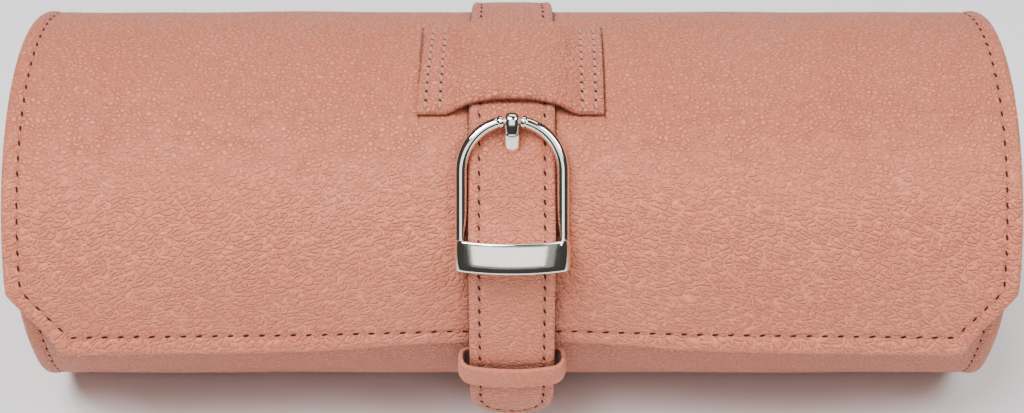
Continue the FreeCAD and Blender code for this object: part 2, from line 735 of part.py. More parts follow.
# Keeper: a leather ring round both straps, just below the flap's edge
keeper = new_body("keeper_loop", on_axis=False)
keep_slack = S("keeper_slack")
keep_in = f"({S('strap_width')} / 2 + {S('keeper_side_slack')})"
keep_out = f"({keep_in} + {S('keeper_leather')})"
keep_low = f"-{keep_slack}"
keep_high = f"({S('chape')} + {S('lay_gap')} + {strap_thickness} + {keep_slack})"
outer_ring = outline(keeper, "ring", "XZ_Plane", [
    (f"-{keep_out}", f"{keep_low} - {S('keeper_leather')}"),
    (keep_out, f"{keep_low} - {S('keeper_leather')}"),
    (keep_out, f"{keep_high} + {S('keeper_leather')}"),
    (f"-{keep_out}", f"{keep_high} + {S('keeper_leather')}"),
])
pad(keeper, outer_ring, S("keeper_height"))
doc.recompute()
inner_ring = outline(keeper, "window", "XZ_Plane", [
    (f"-{keep_in}", keep_low), (keep_in, keep_low), (keep_in, keep_high), (f"-{keep_in}", keep_high),
])
window = keeper.newObject("PartDesign::Pocket", "window_cut")
window.Profile = inner_ring
window.Type = "ThroughAll"
window.SideType = "Symmetric"
keeper.Tip = window
doc.recompute()
rounds = keeper.newObject("PartDesign::Fillet", "rounded_corners")
long_edges = [
    f"Edge{i}"
    for i, edge in enumerate(window.Shape.Edges, start=1)
    if abs(edge.tangentAt(edge.FirstParameter).y) > 0.9 and abs(edge.CenterOfMass.x) > value(keep_in) + 1e-6
]
rounds.Base = (window, long_edges)
rounds.setExpression("Radius", S("keeper_corner"))
keeper.Tip = rounds
keeper_middle = run_start + run_down * (size["keeper_drop"] + size["keeper_height"] / 2)
keeper.Placement = FreeCAD.Placement(
    world(keeper_middle), FreeCAD.Rotation(Vector(1, 0, 0), 90 - size["run_angle"])
)


# Cushions: an oval pillow, fullest in the middle and drawn in at both ends
def oval(x, half_depth, half_height, side_radius, up):
    """Four tangent arcs: two at the sides and two flatter ones above and below."""
    reach = half_depth - side_radius
    crown = (reach**2 + half_height**2 - side_radius**2) / (2 * (half_height - side_radius))
    drop = crown - half_height
    away = Vector(reach, drop, 0).normalize()
    tangent = Vector(reach, 0, 0) + away * side_radius
    corners = [
        Vector(x, sy * tangent.x, up + sz * tangent.y) for sy, sz in ((1, -1), (1, 1), (-1, 1), (-1, -1))
    ]
    middles = [
        Vector(x, half_depth, up),
        Vector(x, 0, up + half_height),
        Vector(x, -half_depth, up),
        Vector(x, 0, up - half_height),
    ]
    arcs = [Part.Arc(corners[i], middles[i], corners[(i + 1) % 4]).toShape() for i in range(4)]
    return Part.Wire(arcs)


def pillow(centre, length, half_depth, half_height, up):
    draw = size["cushion_draw"]
    sections = []
    for place, pull in ((-1, 1.0), (-0.55, 0.18), (0.0, 0.0), (0.55, 0.18), (1, 1.0)):
        sections.append(oval(
            centre + place * length / 2,
            half_depth - pull * draw,
            half_height - pull * draw,
            size["cushion_side_radius"] - pull * draw,
            up,
        ))
    return Part.makeLoft(sections, True, False)


cushion_length = value(bay) - 2 * size["cushion_gap"]
cushion_seat = value(bore_inset) + size["seat_gap"]
half_depth = size["roll_radius"] - value(bore_inset) - size["cushion_side_room"]
half_height = (axis_up + size["cushion_rise"] - cushion_seat) / 2
cushion_up = cushion_seat + half_height
for number in range(1, BAYS + 1):
    centre = (number - (BAYS + 1) / 2) * value(pitch)
    skin = size["cushion_cover"]
    hollow = skin - size["glue_gap"]
    outside = pillow(centre, cushion_length, half_depth, half_height, cushion_up)
    cavity = pillow(centre, cushion_length - 2 * hollow, half_depth - hollow, half_height - hollow, cushion_up)
    core = pillow(centre, cushion_length - 2 * skin, half_depth - skin, half_height - skin, cushion_up)
    for label, shape in ((f"cushion_{number}_cover", outside.cut(cavity)), (f"cushion_{number}_core", core)):
        feature = doc.addObject("Part::Feature", label)
        feature.Shape = shape
        nodes.append(feature)

# Check everything, then write each piece
doc.recompute()
broken = [o.Label for o in doc.Objects if {"Invalid", "Error"} & set(o.State)]
if broken:
    raise ValueError(f"failed objects: {broken}")
os.makedirs("parts", exist_ok=True)
for node in nodes:
    shape = node.Shape
    if shape.isNull() or not shape.isValid() or not shape.Solids:
        raise ValueError(f"{node.Label} is not a valid solid")
for node in nodes:
    node.Shape.exportStep(os.path.join("parts", f"{node.Label}.step"))
    print(node.Label, len(node.Shape.Solids), round(node.Shape.Volume, 1))
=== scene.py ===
"""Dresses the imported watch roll: soft leather panels, straps, stitching, polished buckle, cushions and linings.

Shapes are worked out in millimetres in the CAD frame and written in metres.
Sections lie in the (forward, up) plane about the roll's axis: forward is -Y, up is +Z above the axis.
A place on a sheet is x along the roll and s along the sheet's path. d is out from it, and q in from its edge.
"""
import math
import random

import bpy
import numpy as np
from mathutils import Matrix, Vector
from mathutils.bvhtree import BVHTree


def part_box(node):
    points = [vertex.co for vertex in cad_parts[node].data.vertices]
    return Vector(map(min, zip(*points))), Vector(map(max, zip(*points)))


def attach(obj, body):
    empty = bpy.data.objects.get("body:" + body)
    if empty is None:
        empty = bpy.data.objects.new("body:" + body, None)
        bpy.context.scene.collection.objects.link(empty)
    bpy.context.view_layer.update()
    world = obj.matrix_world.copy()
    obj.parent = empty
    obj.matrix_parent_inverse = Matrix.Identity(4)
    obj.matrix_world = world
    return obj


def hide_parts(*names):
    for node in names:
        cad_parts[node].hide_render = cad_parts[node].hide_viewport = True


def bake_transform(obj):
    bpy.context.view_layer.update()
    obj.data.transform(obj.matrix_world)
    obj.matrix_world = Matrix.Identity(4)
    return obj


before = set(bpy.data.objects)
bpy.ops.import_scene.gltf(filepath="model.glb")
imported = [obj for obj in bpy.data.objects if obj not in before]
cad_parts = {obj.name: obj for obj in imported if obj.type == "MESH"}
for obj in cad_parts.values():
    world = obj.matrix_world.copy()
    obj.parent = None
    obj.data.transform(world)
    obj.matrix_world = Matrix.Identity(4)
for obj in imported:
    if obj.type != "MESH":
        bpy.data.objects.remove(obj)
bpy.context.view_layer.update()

MM = 0.001
# The axis's height, the roll's radius, how much wider the flap's front arc is, and half the roll's length
AXIS = 43.6
ROLL_R = 45.0
SWELL = 6.4
FRONT_R = ROLL_R + SWELL
HALF_LENGTH = 115.5
# Degrees round the roll: the flap's start, the start of its wider front arc and its end, then the trough's edges
FLAP_BACK, BLEND, FLAP_END = 184.0, 70.0, 1.0
TROUGH_BACK, RIM = 196.0, 4.0
SHELL = 2.3
LINING = 0.6
rng = np.random.default_rng(11)


# Small maths
def heading(radians):
    return np.stack([np.cos(radians), np.sin(radians)], -1)


def ray(degrees):
    return heading(np.radians(degrees))


def around(count):
    """Angles evenly round a circle."""
    return np.linspace(0, 2 * math.pi, count, endpoint=False)


def unit(vectors):
    return vectors / np.linalg.norm(vectors, axis=-1, keepdims=True)


def tangents(points):
    return unit(np.gradient(points, axis=0))


def left_of(ways):
    return np.stack([-ways[:, 1], ways[:, 0]], -1)


def run_of(points):
    """The distance along a line of points, at each of them."""
    return np.concatenate([[0], np.cumsum(np.linalg.norm(np.diff(points, axis=0), axis=1))])


def sample(table, along, at):
    """A table whose rows lie at distances along a line, read at other distances."""
    return np.stack([np.interp(at, along, column) for column in table.T], -1)


def step(x, lo, hi):
    """From 0 at lo to 1 at hi, with soft ends."""
    t = np.clip((np.asarray(x, float) - lo) / (hi - lo), 0, 1)
    return t * t * (3 - 2 * t)


def bell(x, centre, width):
    return np.exp(-(((x - centre) / width) ** 2))


def waves(x, s, seed, lengths=(26, 38, 55, 80)):
    """Gentle seeded unevenness, about -1 to 1."""
    r = random.Random(seed)
    total = 0.0
    for length in lengths:
        turn, phase = r.uniform(0, math.pi), r.uniform(0, 2 * math.pi)
        total = total + np.sin((x * math.cos(turn) + s * math.sin(turn)) * 2 * math.pi / length + phase)
    return total / len(lengths)


# Paths in the section plane. Each gives points and outward normals at distances along it.
FLAP_TURN = ROLL_R * math.radians(FLAP_BACK - BLEND)
FLAP_LEN = FLAP_TURN + FRONT_R * math.radians(BLEND - FLAP_END)
BASE_LEN = ROLL_R * math.radians(RIM + 360.0 - TROUGH_BACK)
FOLD_LEN = ROLL_R * math.radians(TROUGH_BACK - FLAP_BACK)


def flap_path(s):
    """From the fold at the back, over the top, down the front on a wider arc."""
    s = np.asarray(s, float)
    ahead = s > FLAP_TURN
    front = math.radians(BLEND) - (s - FLAP_TURN) / FRONT_R
    n = heading(np.where(ahead, front, math.radians(FLAP_BACK) - s / ROLL_R))
    return np.where(ahead[..., None], FRONT_R * n - SWELL * ray(BLEND), ROLL_R * n), n


def base_path(s):
    """From the front rim down, along the flat foot and up to the fold."""
    n = heading(math.radians(RIM) - np.asarray(s, float) / ROLL_R)
    p = ROLL_R * n
    flat = p[..., 1:] < -AXIS
    p[..., 1] = np.maximum(p[..., 1], -AXIS)
    return p, np.where(flat, np.array([0.0, -1.0]), n)


def fold_path(s):
    """The bend at the back, from the trough to the flap."""
    n = heading(math.radians(TROUGH_BACK) - np.asarray(s, float) / ROLL_R)
    return ROLL_R * n, n


def spline_path(stations, samples=1600):
    """A natural cubic spline through stations, and its length."""
    pts = np.array(stations, float)
    t = run_of(pts)
    h = np.diff(t)
    n = len(pts)
    a, b = np.eye(n), np.zeros((n, 2))
    for i in range(1, n - 1):
        a[i, i - 1 : i + 2] = h[i - 1], 2 * (h[i - 1] + h[i]), h[i]
        b[i] = 6 * ((pts[i + 1] - pts[i]) / h[i] - (pts[i] - pts[i - 1]) / h[i - 1])
    m = np.linalg.solve(a, b)
    u = np.linspace(0, t[-1], samples)
    k = np.clip(np.searchsorted(t, u, side="right") - 1, 0, n - 2)
    w0, w1, hk = (t[k + 1] - u)[:, None], (u - t[k])[:, None], h[k][:, None]
    dense = (
        m[k] * w0**3 / (6 * hk) + m[k + 1] * w1**3 / (6 * hk)
        + (pts[k] / hk - m[k] * hk / 6) * w0 + (pts[k + 1] / hk - m[k + 1] * hk / 6) * w1
    )
    along = run_of(dense)
    normal = left_of(unit(np.gradient(dense, along, axis=0)))

    def path(s):
        return sample(dense, along, s), unit(sample(normal, along, s))

    return path, along[-1]


def on_path(path, lift=0.0):
    """A surface over (x along the roll, s along a path), d out from it."""
    def surface(x, s, d):
        p, n = path(s)
        p = p + n * (lift + np.asarray(d, float))[..., None]
        return np.stack([np.broadcast_to(x, p.shape[:-1]), -p[..., 0], AXIS + p[..., 1]], -1)
    return surface


# Mesh helpers
def placed(name, data):
    """A new object in the scene."""
    obj = bpy.data.objects.new(name, data)
    bpy.context.scene.collection.objects.link(obj)
    return obj


def new_mesh(name, verts, faces, flat=None, sharp=1.05, painted_shade=None):
    """A smooth mesh, with the place of its points on the skin and how much painted shade lies on them."""
    mesh = bpy.data.meshes.new(name)
    mesh.from_pydata((np.asarray(verts) * MM).tolist(), [], [list(f) for f in faces])
    mesh.polygons.foreach_set("use_smooth", np.ones(len(mesh.polygons), bool))
    mesh.set_sharp_from_angle(angle=sharp)
    layers = (("flat", "FLOAT_VECTOR", "vector", flat), ("painted_shade", "FLOAT", "value", painted_shade))
    for key, kind, field, values in layers:
        if values is not None:
            attribute = mesh.attributes.new(key, kind, "POINT")
            attribute.data.foreach_set(field, np.asarray(values, np.float32).ravel())
    mesh.update()
    return placed(name, mesh)


def finish_piece(obj, carrier, material, nodes=()):
    """Material, motion and replaced nodes. carrier is a body, or a function that is given the piece."""
    obj.data.materials.append(material)
    if callable(carrier):
        carrier(obj)
    else:
        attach(obj, carrier)
    if nodes:
        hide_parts(*nodes)
    return obj


def loft(rings, sides, flip=False, caps=(True, True), first=0):
    """Faces between rings of points that follow one another from point number first, with closed ends."""
    faces = []
    for i in range(rings - 1):
        for k in range(sides):
            a, b = (first + i * sides + n % sides for n in (k, k + 1))
            faces.append((a, a + sides, b + sides, b) if flip else (a, b, b + sides, a + sides))
    start = tuple(range(first, first + sides))
    end = tuple(n + (rings - 1) * sides for n in start)
    for wanted, cap, turned in ((caps[0], start, not flip), (caps[1], end, flip)):
        if wanted:
            faces.append(cap[::-1] if turned else cap)
    return faces


def even(width):
    """The half width of a sheet with straight sides."""
    return lambda s: np.full(np.shape(s), width)


EDGE_INSETS = (0, 0.07, 0.26, 0.56, 0.95, 1.4, 1.9, 2.4, 2.8, 3.1, 3.4, 3.7, 4.0, 4.3, 4.7, 5.4, 6.6, 8.4)
EDGE_SHARE = 0.92
RELIEF_EASE = 1.0
INNER_TAG = 40
# Where painted shade begins round the edge (0 on the face, 1 at the brink), on the brink and under it, and its
# reach
RIM_SHADE_OVER, RIM_SHADE_UNDER, SHADE_ROUND, SHADE_REACH, SHADE_FADE = 0.62, 0.3, (0.95, 0.55), (0.5, 1.6), 0.85


class Sheet:
    """A sheet over rows of s, half(s) wide to each side. inside(x, s) is the distance to its soft edge.

    Its ends are "round" or "flat". relief raises the outer face only, and shift moves both faces.
    """

    def __init__(self, surface, rows, half, ends=("round", "round"), inside=None, relief=None, shift=None):
        self.surface, self.rows, self.half, self.ends = surface, np.asarray(rows, float), half, ends
        self.inside, self.relief, self.shift = inside or self.margin, relief, shift

    def margin(self, x, s):
        gaps = [self.half(s) - np.abs(x)]
        gaps += [gap for gap, end in zip((s - self.rows[0], self.rows[-1] - s), self.ends) if end == "round"]
        return np.minimum.reduce(gaps)

    def moves(self, x, s, q):
        rise = self.relief(x, s, q) * step(q, 0, RELIEF_EASE) if self.relief else 0.0
        return rise, self.shift(x, s) if self.shift else 0.0

    def face(self, x, s, d):
        """The outer face, for what is sewn to it."""
        return self.surface(x, s, d + sum(self.moves(x, s, np.maximum(self.inside(x, s), 0))))


def panel(name, sheet, thick, insets=EDGE_INSETS, mids=96, tag=0.0, square=2.0, dark_rim=0.0, edge_shade=0.0,
          shade_paint=None):
    """A sheet's closed mesh. square is how full the round of its edge is, and tag sets its grain apart.

    The last three paint shade: under the edge, on its brink, and by a function of (x, s) over the outer face.
    """
    insets = np.asarray(insets, float)
    hw = sheet.half(sheet.rows)
    left = np.minimum(1.0, EDGE_SHARE * hw / insets[-1])[:, None] * insets[None, :] - hw[:, None]
    right = -left[:, ::-1]
    k = np.linspace(0, 1, mids + 2)[1:-1]
    x = np.concatenate([left, left[:, -1:] * (1 - k) + right[:, :1] * k, right], 1)
    s = np.broadcast_to(sheet.rows[:, None], x.shape).copy()
    shared = np.zeros(x.shape, bool)
    shared[:, 0] = shared[:, -1] = True
    for row, end in zip((0, -1), sheet.ends):
        if end == "round":
            shared[row] = True
    q = np.where(shared, 0, np.maximum(sheet.inside(x, s), 0))
    t = thick(s) if callable(thick) else np.full(x.shape, float(thick))
    r = t / 2
    drop = r * (1 - np.maximum(1 - (1 - np.minimum(q, r) / r) ** square, 0) ** (1 / square))
    rise, move = sheet.moves(x, s, q)
    outer, inner = sheet.surface(x, s, move + rise - drop), sheet.surface(x, s, move + drop - t)
    n, m = x.shape
    upper = np.arange(n * m).reshape(n, m)
    lower = np.where(shared, upper, upper + n * m)
    faces = []
    for ids, order in ((upper, 1), (lower, -1)):
        quads = np.stack([ids[:-1, :-1], ids[1:, :-1], ids[1:, 1:], ids[:-1, 1:]], -1).reshape(-1, 4)
        faces += quads[:, ::order].tolist()
    for row, end, order in zip((0, -1), sheet.ends, (1, -1)):
        if end == "flat":
            for j in range(m - 1):
                corners = [upper[row, j], upper[row, j + 1], lower[row, j + 1], lower[row, j]][::order]
                faces.append([int(c) for i, c in enumerate(corners) if c != corners[i - 1]])
    # Painted shade: a dark line on the brink, shade under the edge, and shade laid over the outer face
    turned = drop / r
    over = edge_shade * step(turned, RIM_SHADE_OVER, 1.0)
    if shade_paint:
        over = np.maximum(over, shade_paint(x, s))
    under = dark_rim * step(turned, *SHADE_ROUND) * (1 - SHADE_FADE * step(q, *SHADE_REACH))
    under = np.maximum(under, edge_shade * step(turned, RIM_SHADE_UNDER, 1.0))
    verts = np.concatenate([outer.reshape(-1, 3), inner.reshape(-1, 3)])
    flat = np.concatenate([
        np.stack([x, s, np.full_like(x, z)], -1).reshape(-1, 3) for z in (tag, tag + INNER_TAG)])
    painted_shade = np.concatenate([over.ravel(), under.ravel()])
    used = np.zeros(len(verts), bool)
    used[[c for f in faces for c in f]] = True
    index = np.cumsum(used) - 1
    faces = [[int(index[c]) for c in f] for f in faces]
    return new_mesh(name, verts[used], faces, flat[used], painted_shade=painted_shade[used])


def rows_for(length, spacing, start_fine=False, end_fine=False, insets=EDGE_INSETS):
    """Even rows along a sheet, with fine ones at its soft ends."""
    reach, fine = insets[-1], np.asarray(insets[:-1])
    lo, hi = (reach if start_fine else 0.0), (length - reach if end_fine else length)
    rows = np.linspace(lo, hi, max(2, int((hi - lo) / spacing) + 1))
    if start_fine:
        rows = np.concatenate([fine, rows])
    if end_fine:
        rows = np.concatenate([rows, length - fine[::-1]])
    return rows


# Stitches: one shaped thread and one needle hole, set along lines on a surface
HOLE_LIFT = 0.12
HOLE_SLANT = 2.2
SLANT_SPREAD, PLACE_SPREAD = 2.5, 0.04
COPY_TAG = 3.7


def thread_template(length, radius, rings=9, sides=8):
    """A thread along X, thinner and bent down at its ends."""
    verts = []
    for t in np.linspace(-1, 1, rings):
        r = radius * (0.42 + 0.58 * math.sqrt(max(0.0, 1 - abs(t) ** 3)))
        up = 0.55 * radius - 1.5 * radius * t**4
        verts += [(t * length / 2, r * c, up + r * 0.85 * v) for c, v in heading(around(sides))]
    return np.array(verts), loft(rings, sides)


def hole_template(length, width, sides=12, dish=-0.02):
    """An oval with a dished middle and a rim, closed below."""
    verts = [(0, 0, dish)]
    for ring, up in ((0.55, 0.03), (1.0, 0.045), (1.02, -0.25)):
        verts += [(ring * length / 2 * c, ring * width / 2 * v, up) for c, v in heading(around(sides))]
    faces = [(0, 1 + k, 1 + (k + 1) % sides) for k in range(sides)]
    return np.array(verts), faces + loft(3, sides, flip=True, caps=(False, True), first=1)


def frames_on(surface, line, places, slant=0.0):
    """Origins and axes (along, across, out) at distances along a line of (x, s) points."""
    line = np.asarray(line, float)
    along = run_of(line)

    def spot(at, d=0.0):
        x, s = sample(line, along, at).T
        return surface(x, s, np.full(len(x), d))

    origin = spot(places)
    e1 = unit(spot(places + 0.15) - spot(places - 0.15))
    out = spot(places, 0.2) - origin
    out = unit(out - e1 * (out * e1).sum(1, keepdims=True))
    e2 = np.cross(out, e1)
    if slant:
        tilt = np.radians(slant + rng.normal(0, SLANT_SPREAD, len(origin)))[:, None]
        e1, e2 = e1 * np.cos(tilt) + e2 * np.sin(tilt), e2 * np.cos(tilt) - e1 * np.sin(tilt)
    return origin, e1, e2, out


def scatter(name, template, frames):
    """Copies of a template, one in each frame, as one mesh."""
    points, faces = template
    origin, *axes = frames
    verts = origin[:, None] + sum(points[None, :, i : i + 1] * axis[:, None] for i, axis in enumerate(axes))
    flat = points[None] + np.arange(len(origin))[:, None, None] * COPY_TAG
    faces = [tuple(i * len(points) + c for c in f) for i in range(len(origin)) for f in faces]
    return new_mesh(name, verts.reshape(-1, 3), faces, flat.reshape(-1, 3), sharp=1.3)


def sew(name, carrier, sheet, lines, pitch, stitch, gauge, hole, slant, sink=0.0, end_holes=True, thread=None):
    """Threads and needle holes along lines on a sheet, as two finished pieces."""
    threads, holes = [], []
    for line in lines:
        length = run_of(line)[-1]
        count = max(1, int(round(length / pitch)))
        middles = (np.arange(count) + 0.5) * length / count
        spots = np.arange(count + 1) * length / count
        threads.append(frames_on(sheet.face, line, middles + rng.normal(0, PLACE_SPREAD, count), slant))
        holes.append(frames_on(sheet.face, line, spots if end_holes else spots[1:-1], slant * HOLE_SLANT))
    for parts, lift, template, piece, mat in (
        (threads, -sink, thread_template(stitch, gauge), name, thread or THREAD),
        (holes, HOLE_LIFT, hole_template(*hole), name + "_holes", HOLE),
    ):
        origin, e1, e2, out = (np.concatenate(p) for p in zip(*parts))
        finish_piece(scatter(piece, template, (origin + out * lift, e1, e2, out)), carrier, mat)


# Materials
class Shader:
    """A material with short ways to make its nodes, from numbers, colours and other nodes' outputs."""

    def __init__(self, name):
        self.mat = bpy.data.materials.new(name)
        self.mat.use_nodes = True
        self.tree = self.mat.node_tree
        self.bsdf = self.tree.nodes["Principled BSDF"]

    def plug(self, owner, sockets):
        for key, val in sockets.items():
            if isinstance(val, bpy.types.NodeSocket):
                self.tree.links.new(val, owner.inputs[key])
            else:
                owner.inputs[key].default_value = val

    def node(self, kind, sockets=None, out=0, **props):
        made = self.tree.nodes.new("ShaderNode" + kind)
        for key, val in props.items():
            setattr(made, key, val)
        self.plug(made, sockets or {})
        return made.outputs[out]

    def noise(self, place, scale, detail=2.0, out="Fac"):
        return self.node("TexNoise", {"Vector": place, "Scale": scale, "Detail": detail}, out)

    def calc(self, operation, *values):
        return self.node("Math", dict(enumerate(values)), operation=operation)

    def ramp(self, *values):
        """A value, its range and the range that it is brought to, or else 0 to 1, with soft ends."""
        return self.node("MapRange", dict(enumerate(values)), interpolation_type="SMOOTHSTEP")

    def mix(self, factor, a, b):
        return self.node("Mix", {0: factor, 6: a, 7: b}, 2, data_type="RGBA")

    def bump(self, height, strength, distance):
        normal = self.node("Bump", {"Height": height, "Strength": strength, "Distance": distance})
        self.plug(self.bsdf, {"Normal": normal})

    def done(self, **sockets):
        """The material, with the shader's sockets set or linked. Underscores stand for spaces."""
        self.plug(self.bsdf, {key.replace("_", " "): val for key, val in sockets.items()})
        return self.mat


def tinted(colour, *factors):
    return tuple(min(1.0, c * f) for c, f in zip(colour, factors)) + (1.0,)


def crevice(mat, across, down, lines):
    """Shade where other pieces lie on this one. A line is (|x|, half width, s from, s to, strength)."""
    total = 0.0
    for at, half, start, end, strength in lines:
        off = mat.calc("ABSOLUTE", mat.calc("SUBTRACT", across, at))
        dark = mat.ramp(off, 0.0, half, strength, 0.0)
        soft = 0.2 * half + 0.5
        for edge, lo, hi in ((start, 0.0, 1.0), (end, 1.0, 0.0)):
            dark = mat.calc("MULTIPLY", dark, mat.ramp(down, edge - soft, edge + soft, lo, hi))
        total = mat.calc("MAXIMUM", total, dark)
    return total


PINK = (0.612, 0.178, 0.097, 1.0)
# A darker copy of PINK for the keeper: painted shade
SHADED_PINK = (0.565, 0.168, 0.096, 1.0)
# Painted shade: the grain's creases, and a deeper tone of it for crevices, edges and the keeper's inside
CREASE_SHADE = (0.280, 0.070, 0.038, 1.0)
PAINTED_SHADE_TONE = tinted(CREASE_SHADE, 0.16, 0.20, 0.24)
CELL = 1.12
PEBBLES = ((0.88, 1.06, 1.0), 1.04)
LONG_CELLS = ((0.62, 1.12, 1.0), 0.90)
RIM_SHIFT = -0.14
WARP, WARP_SCALE = 1.5, 0.42
LEAN = -0.26
FINE_SCALE, PATCH_SCALE, FADE_SCALE = 2.2, 0.045, 0.16
FADE_REACH = 15.0
# Distances from the cells' edges, as shares of a cell, and how much each layer counts
DOME_WIDE, LONG_WIDE, CREASE_WIDE, RIM_WIDE, CROWN_WIDE = 0.30, 0.22, 0.15, 0.065, (0.06, 0.40)
DOME_SHARE, FINE_SHARE, OPEN_CREASE, RIM_LIGHT, CROWN_LIGHT = 0.12, 0.22, 0.30, 0.60, 0.09
ROUGH_CREASE, ROUGH_DOME = 0.62, 0.48


def leather(name, top=PINK, depth=0.00030, mark=0.50, zone=(94.0, 121.0), lines=(), front_shade=None):
    """Pebbled leather: small domes between creases of painted shade, opening across zone into long cells.
    The domes' tops and the long cells' rims carry painted highlights.

    depth is the relief in metres, mark how dark the creases' painted shade is, lines are crevices of painted
    shade and front_shade is a ramp along s of painted shade.
    """
    mat = Shader(name)
    flat = mat.node("Attribute", out="Vector", attribute_name="flat")
    x, down = (mat.node("SeparateXYZ", {0: flat}, axis) for axis in (0, 1))
    across = mat.calc("ABSOLUTE", x)
    swirl = mat.noise(flat, WARP_SCALE, out="Color")
    warped = mat.node("VectorMath", {0: swirl, 1: (WARP, WARP, 0.0), 2: flat}, operation="MULTIPLY_ADD")
    lean = mat.node("CombineXYZ", {1: mat.calc("MULTIPLY", across, LEAN)})
    leaning = mat.node("VectorMath", {0: warped, 1: lean}, operation="ADD")

    def to_edge(way, stretch, scale, shift=0.0):
        way = mat.node("Mapping", {"Vector": way, "Location": (0.0, shift, 0.0), "Scale": stretch})
        cells = {"Vector": way, "Scale": scale / CELL, "Randomness": 0.92}
        return mat.node("TexVoronoi", cells, "Distance", feature="DISTANCE_TO_EDGE")

    pebble, long_cell = to_edge(warped, *PEBBLES), to_edge(leaning, *LONG_CELLS)
    rim_cell = to_edge(leaning, *LONG_CELLS, RIM_SHIFT)
    fine, patch, fade = (mat.noise(flat, scale) for scale in (FINE_SCALE, PATCH_SCALE, FADE_SCALE))
    place = mat.calc("MULTIPLY_ADD", fade, 2 * FADE_REACH, down)
    opened = mat.ramp(place, zone[0] + FADE_REACH, zone[1] + FADE_REACH)
    closed = mat.ramp(opened, 0.0, 1.0, 1.0, 0.0)
    domes = mat.ramp(pebble, 0.0, DOME_WIDE)
    long_domes = mat.calc("MULTIPLY_ADD", domes, DOME_SHARE, mat.ramp(long_cell, 0.0, LONG_WIDE))
    height = mat.node("Mix", {0: opened, 2: domes, 3: long_domes})
    mat.bump(mat.calc("MULTIPLY_ADD", fine, FINE_SHARE, height), 1.0, depth)
    # The creases between domes carry painted shade, less of it where the cells open
    crease = mat.ramp(pebble, 0.0, CREASE_WIDE, mark, 0.0)
    crease = mat.calc("MULTIPLY", crease, mat.ramp(opened, 0.0, 1.0, 1.0, OPEN_CREASE))
    # Painted highlights: lighter dome tops where the cells are closed, and a light line just below each long
    # cell's edge
    crown = mat.calc("MULTIPLY", mat.ramp(pebble, *CROWN_WIDE, 0.0, CROWN_LIGHT), closed)
    rim = mat.calc("MULTIPLY", mat.ramp(rim_cell, 0.0, RIM_WIDE, RIM_LIGHT, 0.0), opened)
    painted_shade = mat.node("Attribute", out="Fac", attribute_name="painted_shade")
    if lines:
        painted_shade = mat.calc("MAXIMUM", painted_shade, crevice(mat, across, down, lines))
    # The tone of the painted highlights
    light = tinted(top, 1.40, 1.55, 1.60)
    tone = mat.mix(mat.ramp(patch, 0.30, 0.70), top, tinted(top, 0.97, 0.92, 0.88))
    tone = mat.mix(crease, tone, CREASE_SHADE)
    # Painted shade, a ramp along s
    if front_shade:
        tone = mat.mix(mat.ramp(down, *front_shade), tone, tinted(top, 0.45, 0.46, 0.48))
    for amount, colour in ((crown, light), (rim, light), (painted_shade, PAINTED_SHADE_TONE)):
        tone = mat.mix(amount, tone, colour)
    rough = mat.calc("MULTIPLY_ADD", domes, ROUGH_DOME - ROUGH_CREASE, ROUGH_CREASE)
    return mat.done(
        Base_Color=tone, Roughness=rough, Specular_IOR_Level=0.42, Sheen_Weight=0.14, Sheen_Roughness=0.38)


def thread_material(name, colour):
    mat = Shader(name)
    flat = mat.node("Attribute", out="Vector", attribute_name="flat")
    strands = {"Vector": flat, "Scale": 1.4, "Distortion": 0.6, "Detail": 1.0}
    twist = mat.node("TexWave", strands, "Fac", bands_direction="DIAGONAL")
    mat.bump(twist, 0.8, 0.00012)
    tone = mat.mix(twist, tinted(colour, 0.5, 0.5, 0.5), colour)
    return mat.done(Base_Color=tone, Roughness=0.55, Sheen_Weight=0.08)


# Dark discs of painted shade stand in for the needle holes' depth
def hole_material(name):
    mat = Shader(name)
    flat = mat.node("Attribute", out="Vector", attribute_name="flat")
    tone = mat.mix(mat.noise(flat, 3.0), (0.020, 0.007, 0.005, 1), (0.065, 0.022, 0.014, 1))
    return mat.done(Base_Color=tone, Roughness=0.9, Specular_IOR_Level=0.1)


def metal(name):
    """Polished nickel plate with faint handling marks."""
    mat = Shader(name)
    place = mat.node("TexCoord", out="Object")
    haze = mat.noise(place, 260.0, 4.0)
    mat.bump(mat.noise(place, 2600.0), 0.12, 0.00002)
    tone = mat.mix(haze, (0.78, 0.735, 0.66, 1), (0.92, 0.875, 0.79, 1))
    return mat.done(Base_Color=tone, Roughness=mat.calc("MULTIPLY_ADD", haze, 0.07, 0.04), Metallic=1.0)


def suede(name, colour, nap_scale=3200.0):
    """Short-napped microsuede for the lining and cushions."""
    mat = Shader(name)
    place = mat.node("TexCoord", out="Object")
    nap, brushed = mat.noise(place, nap_scale, 3.0), mat.noise(place, 45.0, 3.0)
    mat.bump(mat.calc("MULTIPLY_ADD", brushed, 0.6, nap), 0.55, 0.00018)
    tone = mat.mix(mat.ramp(brushed, 0.35, 0.68), tinted(colour, 0.74, 0.74, 0.74), colour)
    tone = mat.mix(mat.ramp(nap, 0.3, 0.75), tone, tinted(colour, 1.12, 1.12, 1.12))
    return mat.done(Base_Color=tone, Roughness=0.92, Sheen_Weight=0.45, Sheen_Roughness=0.45)


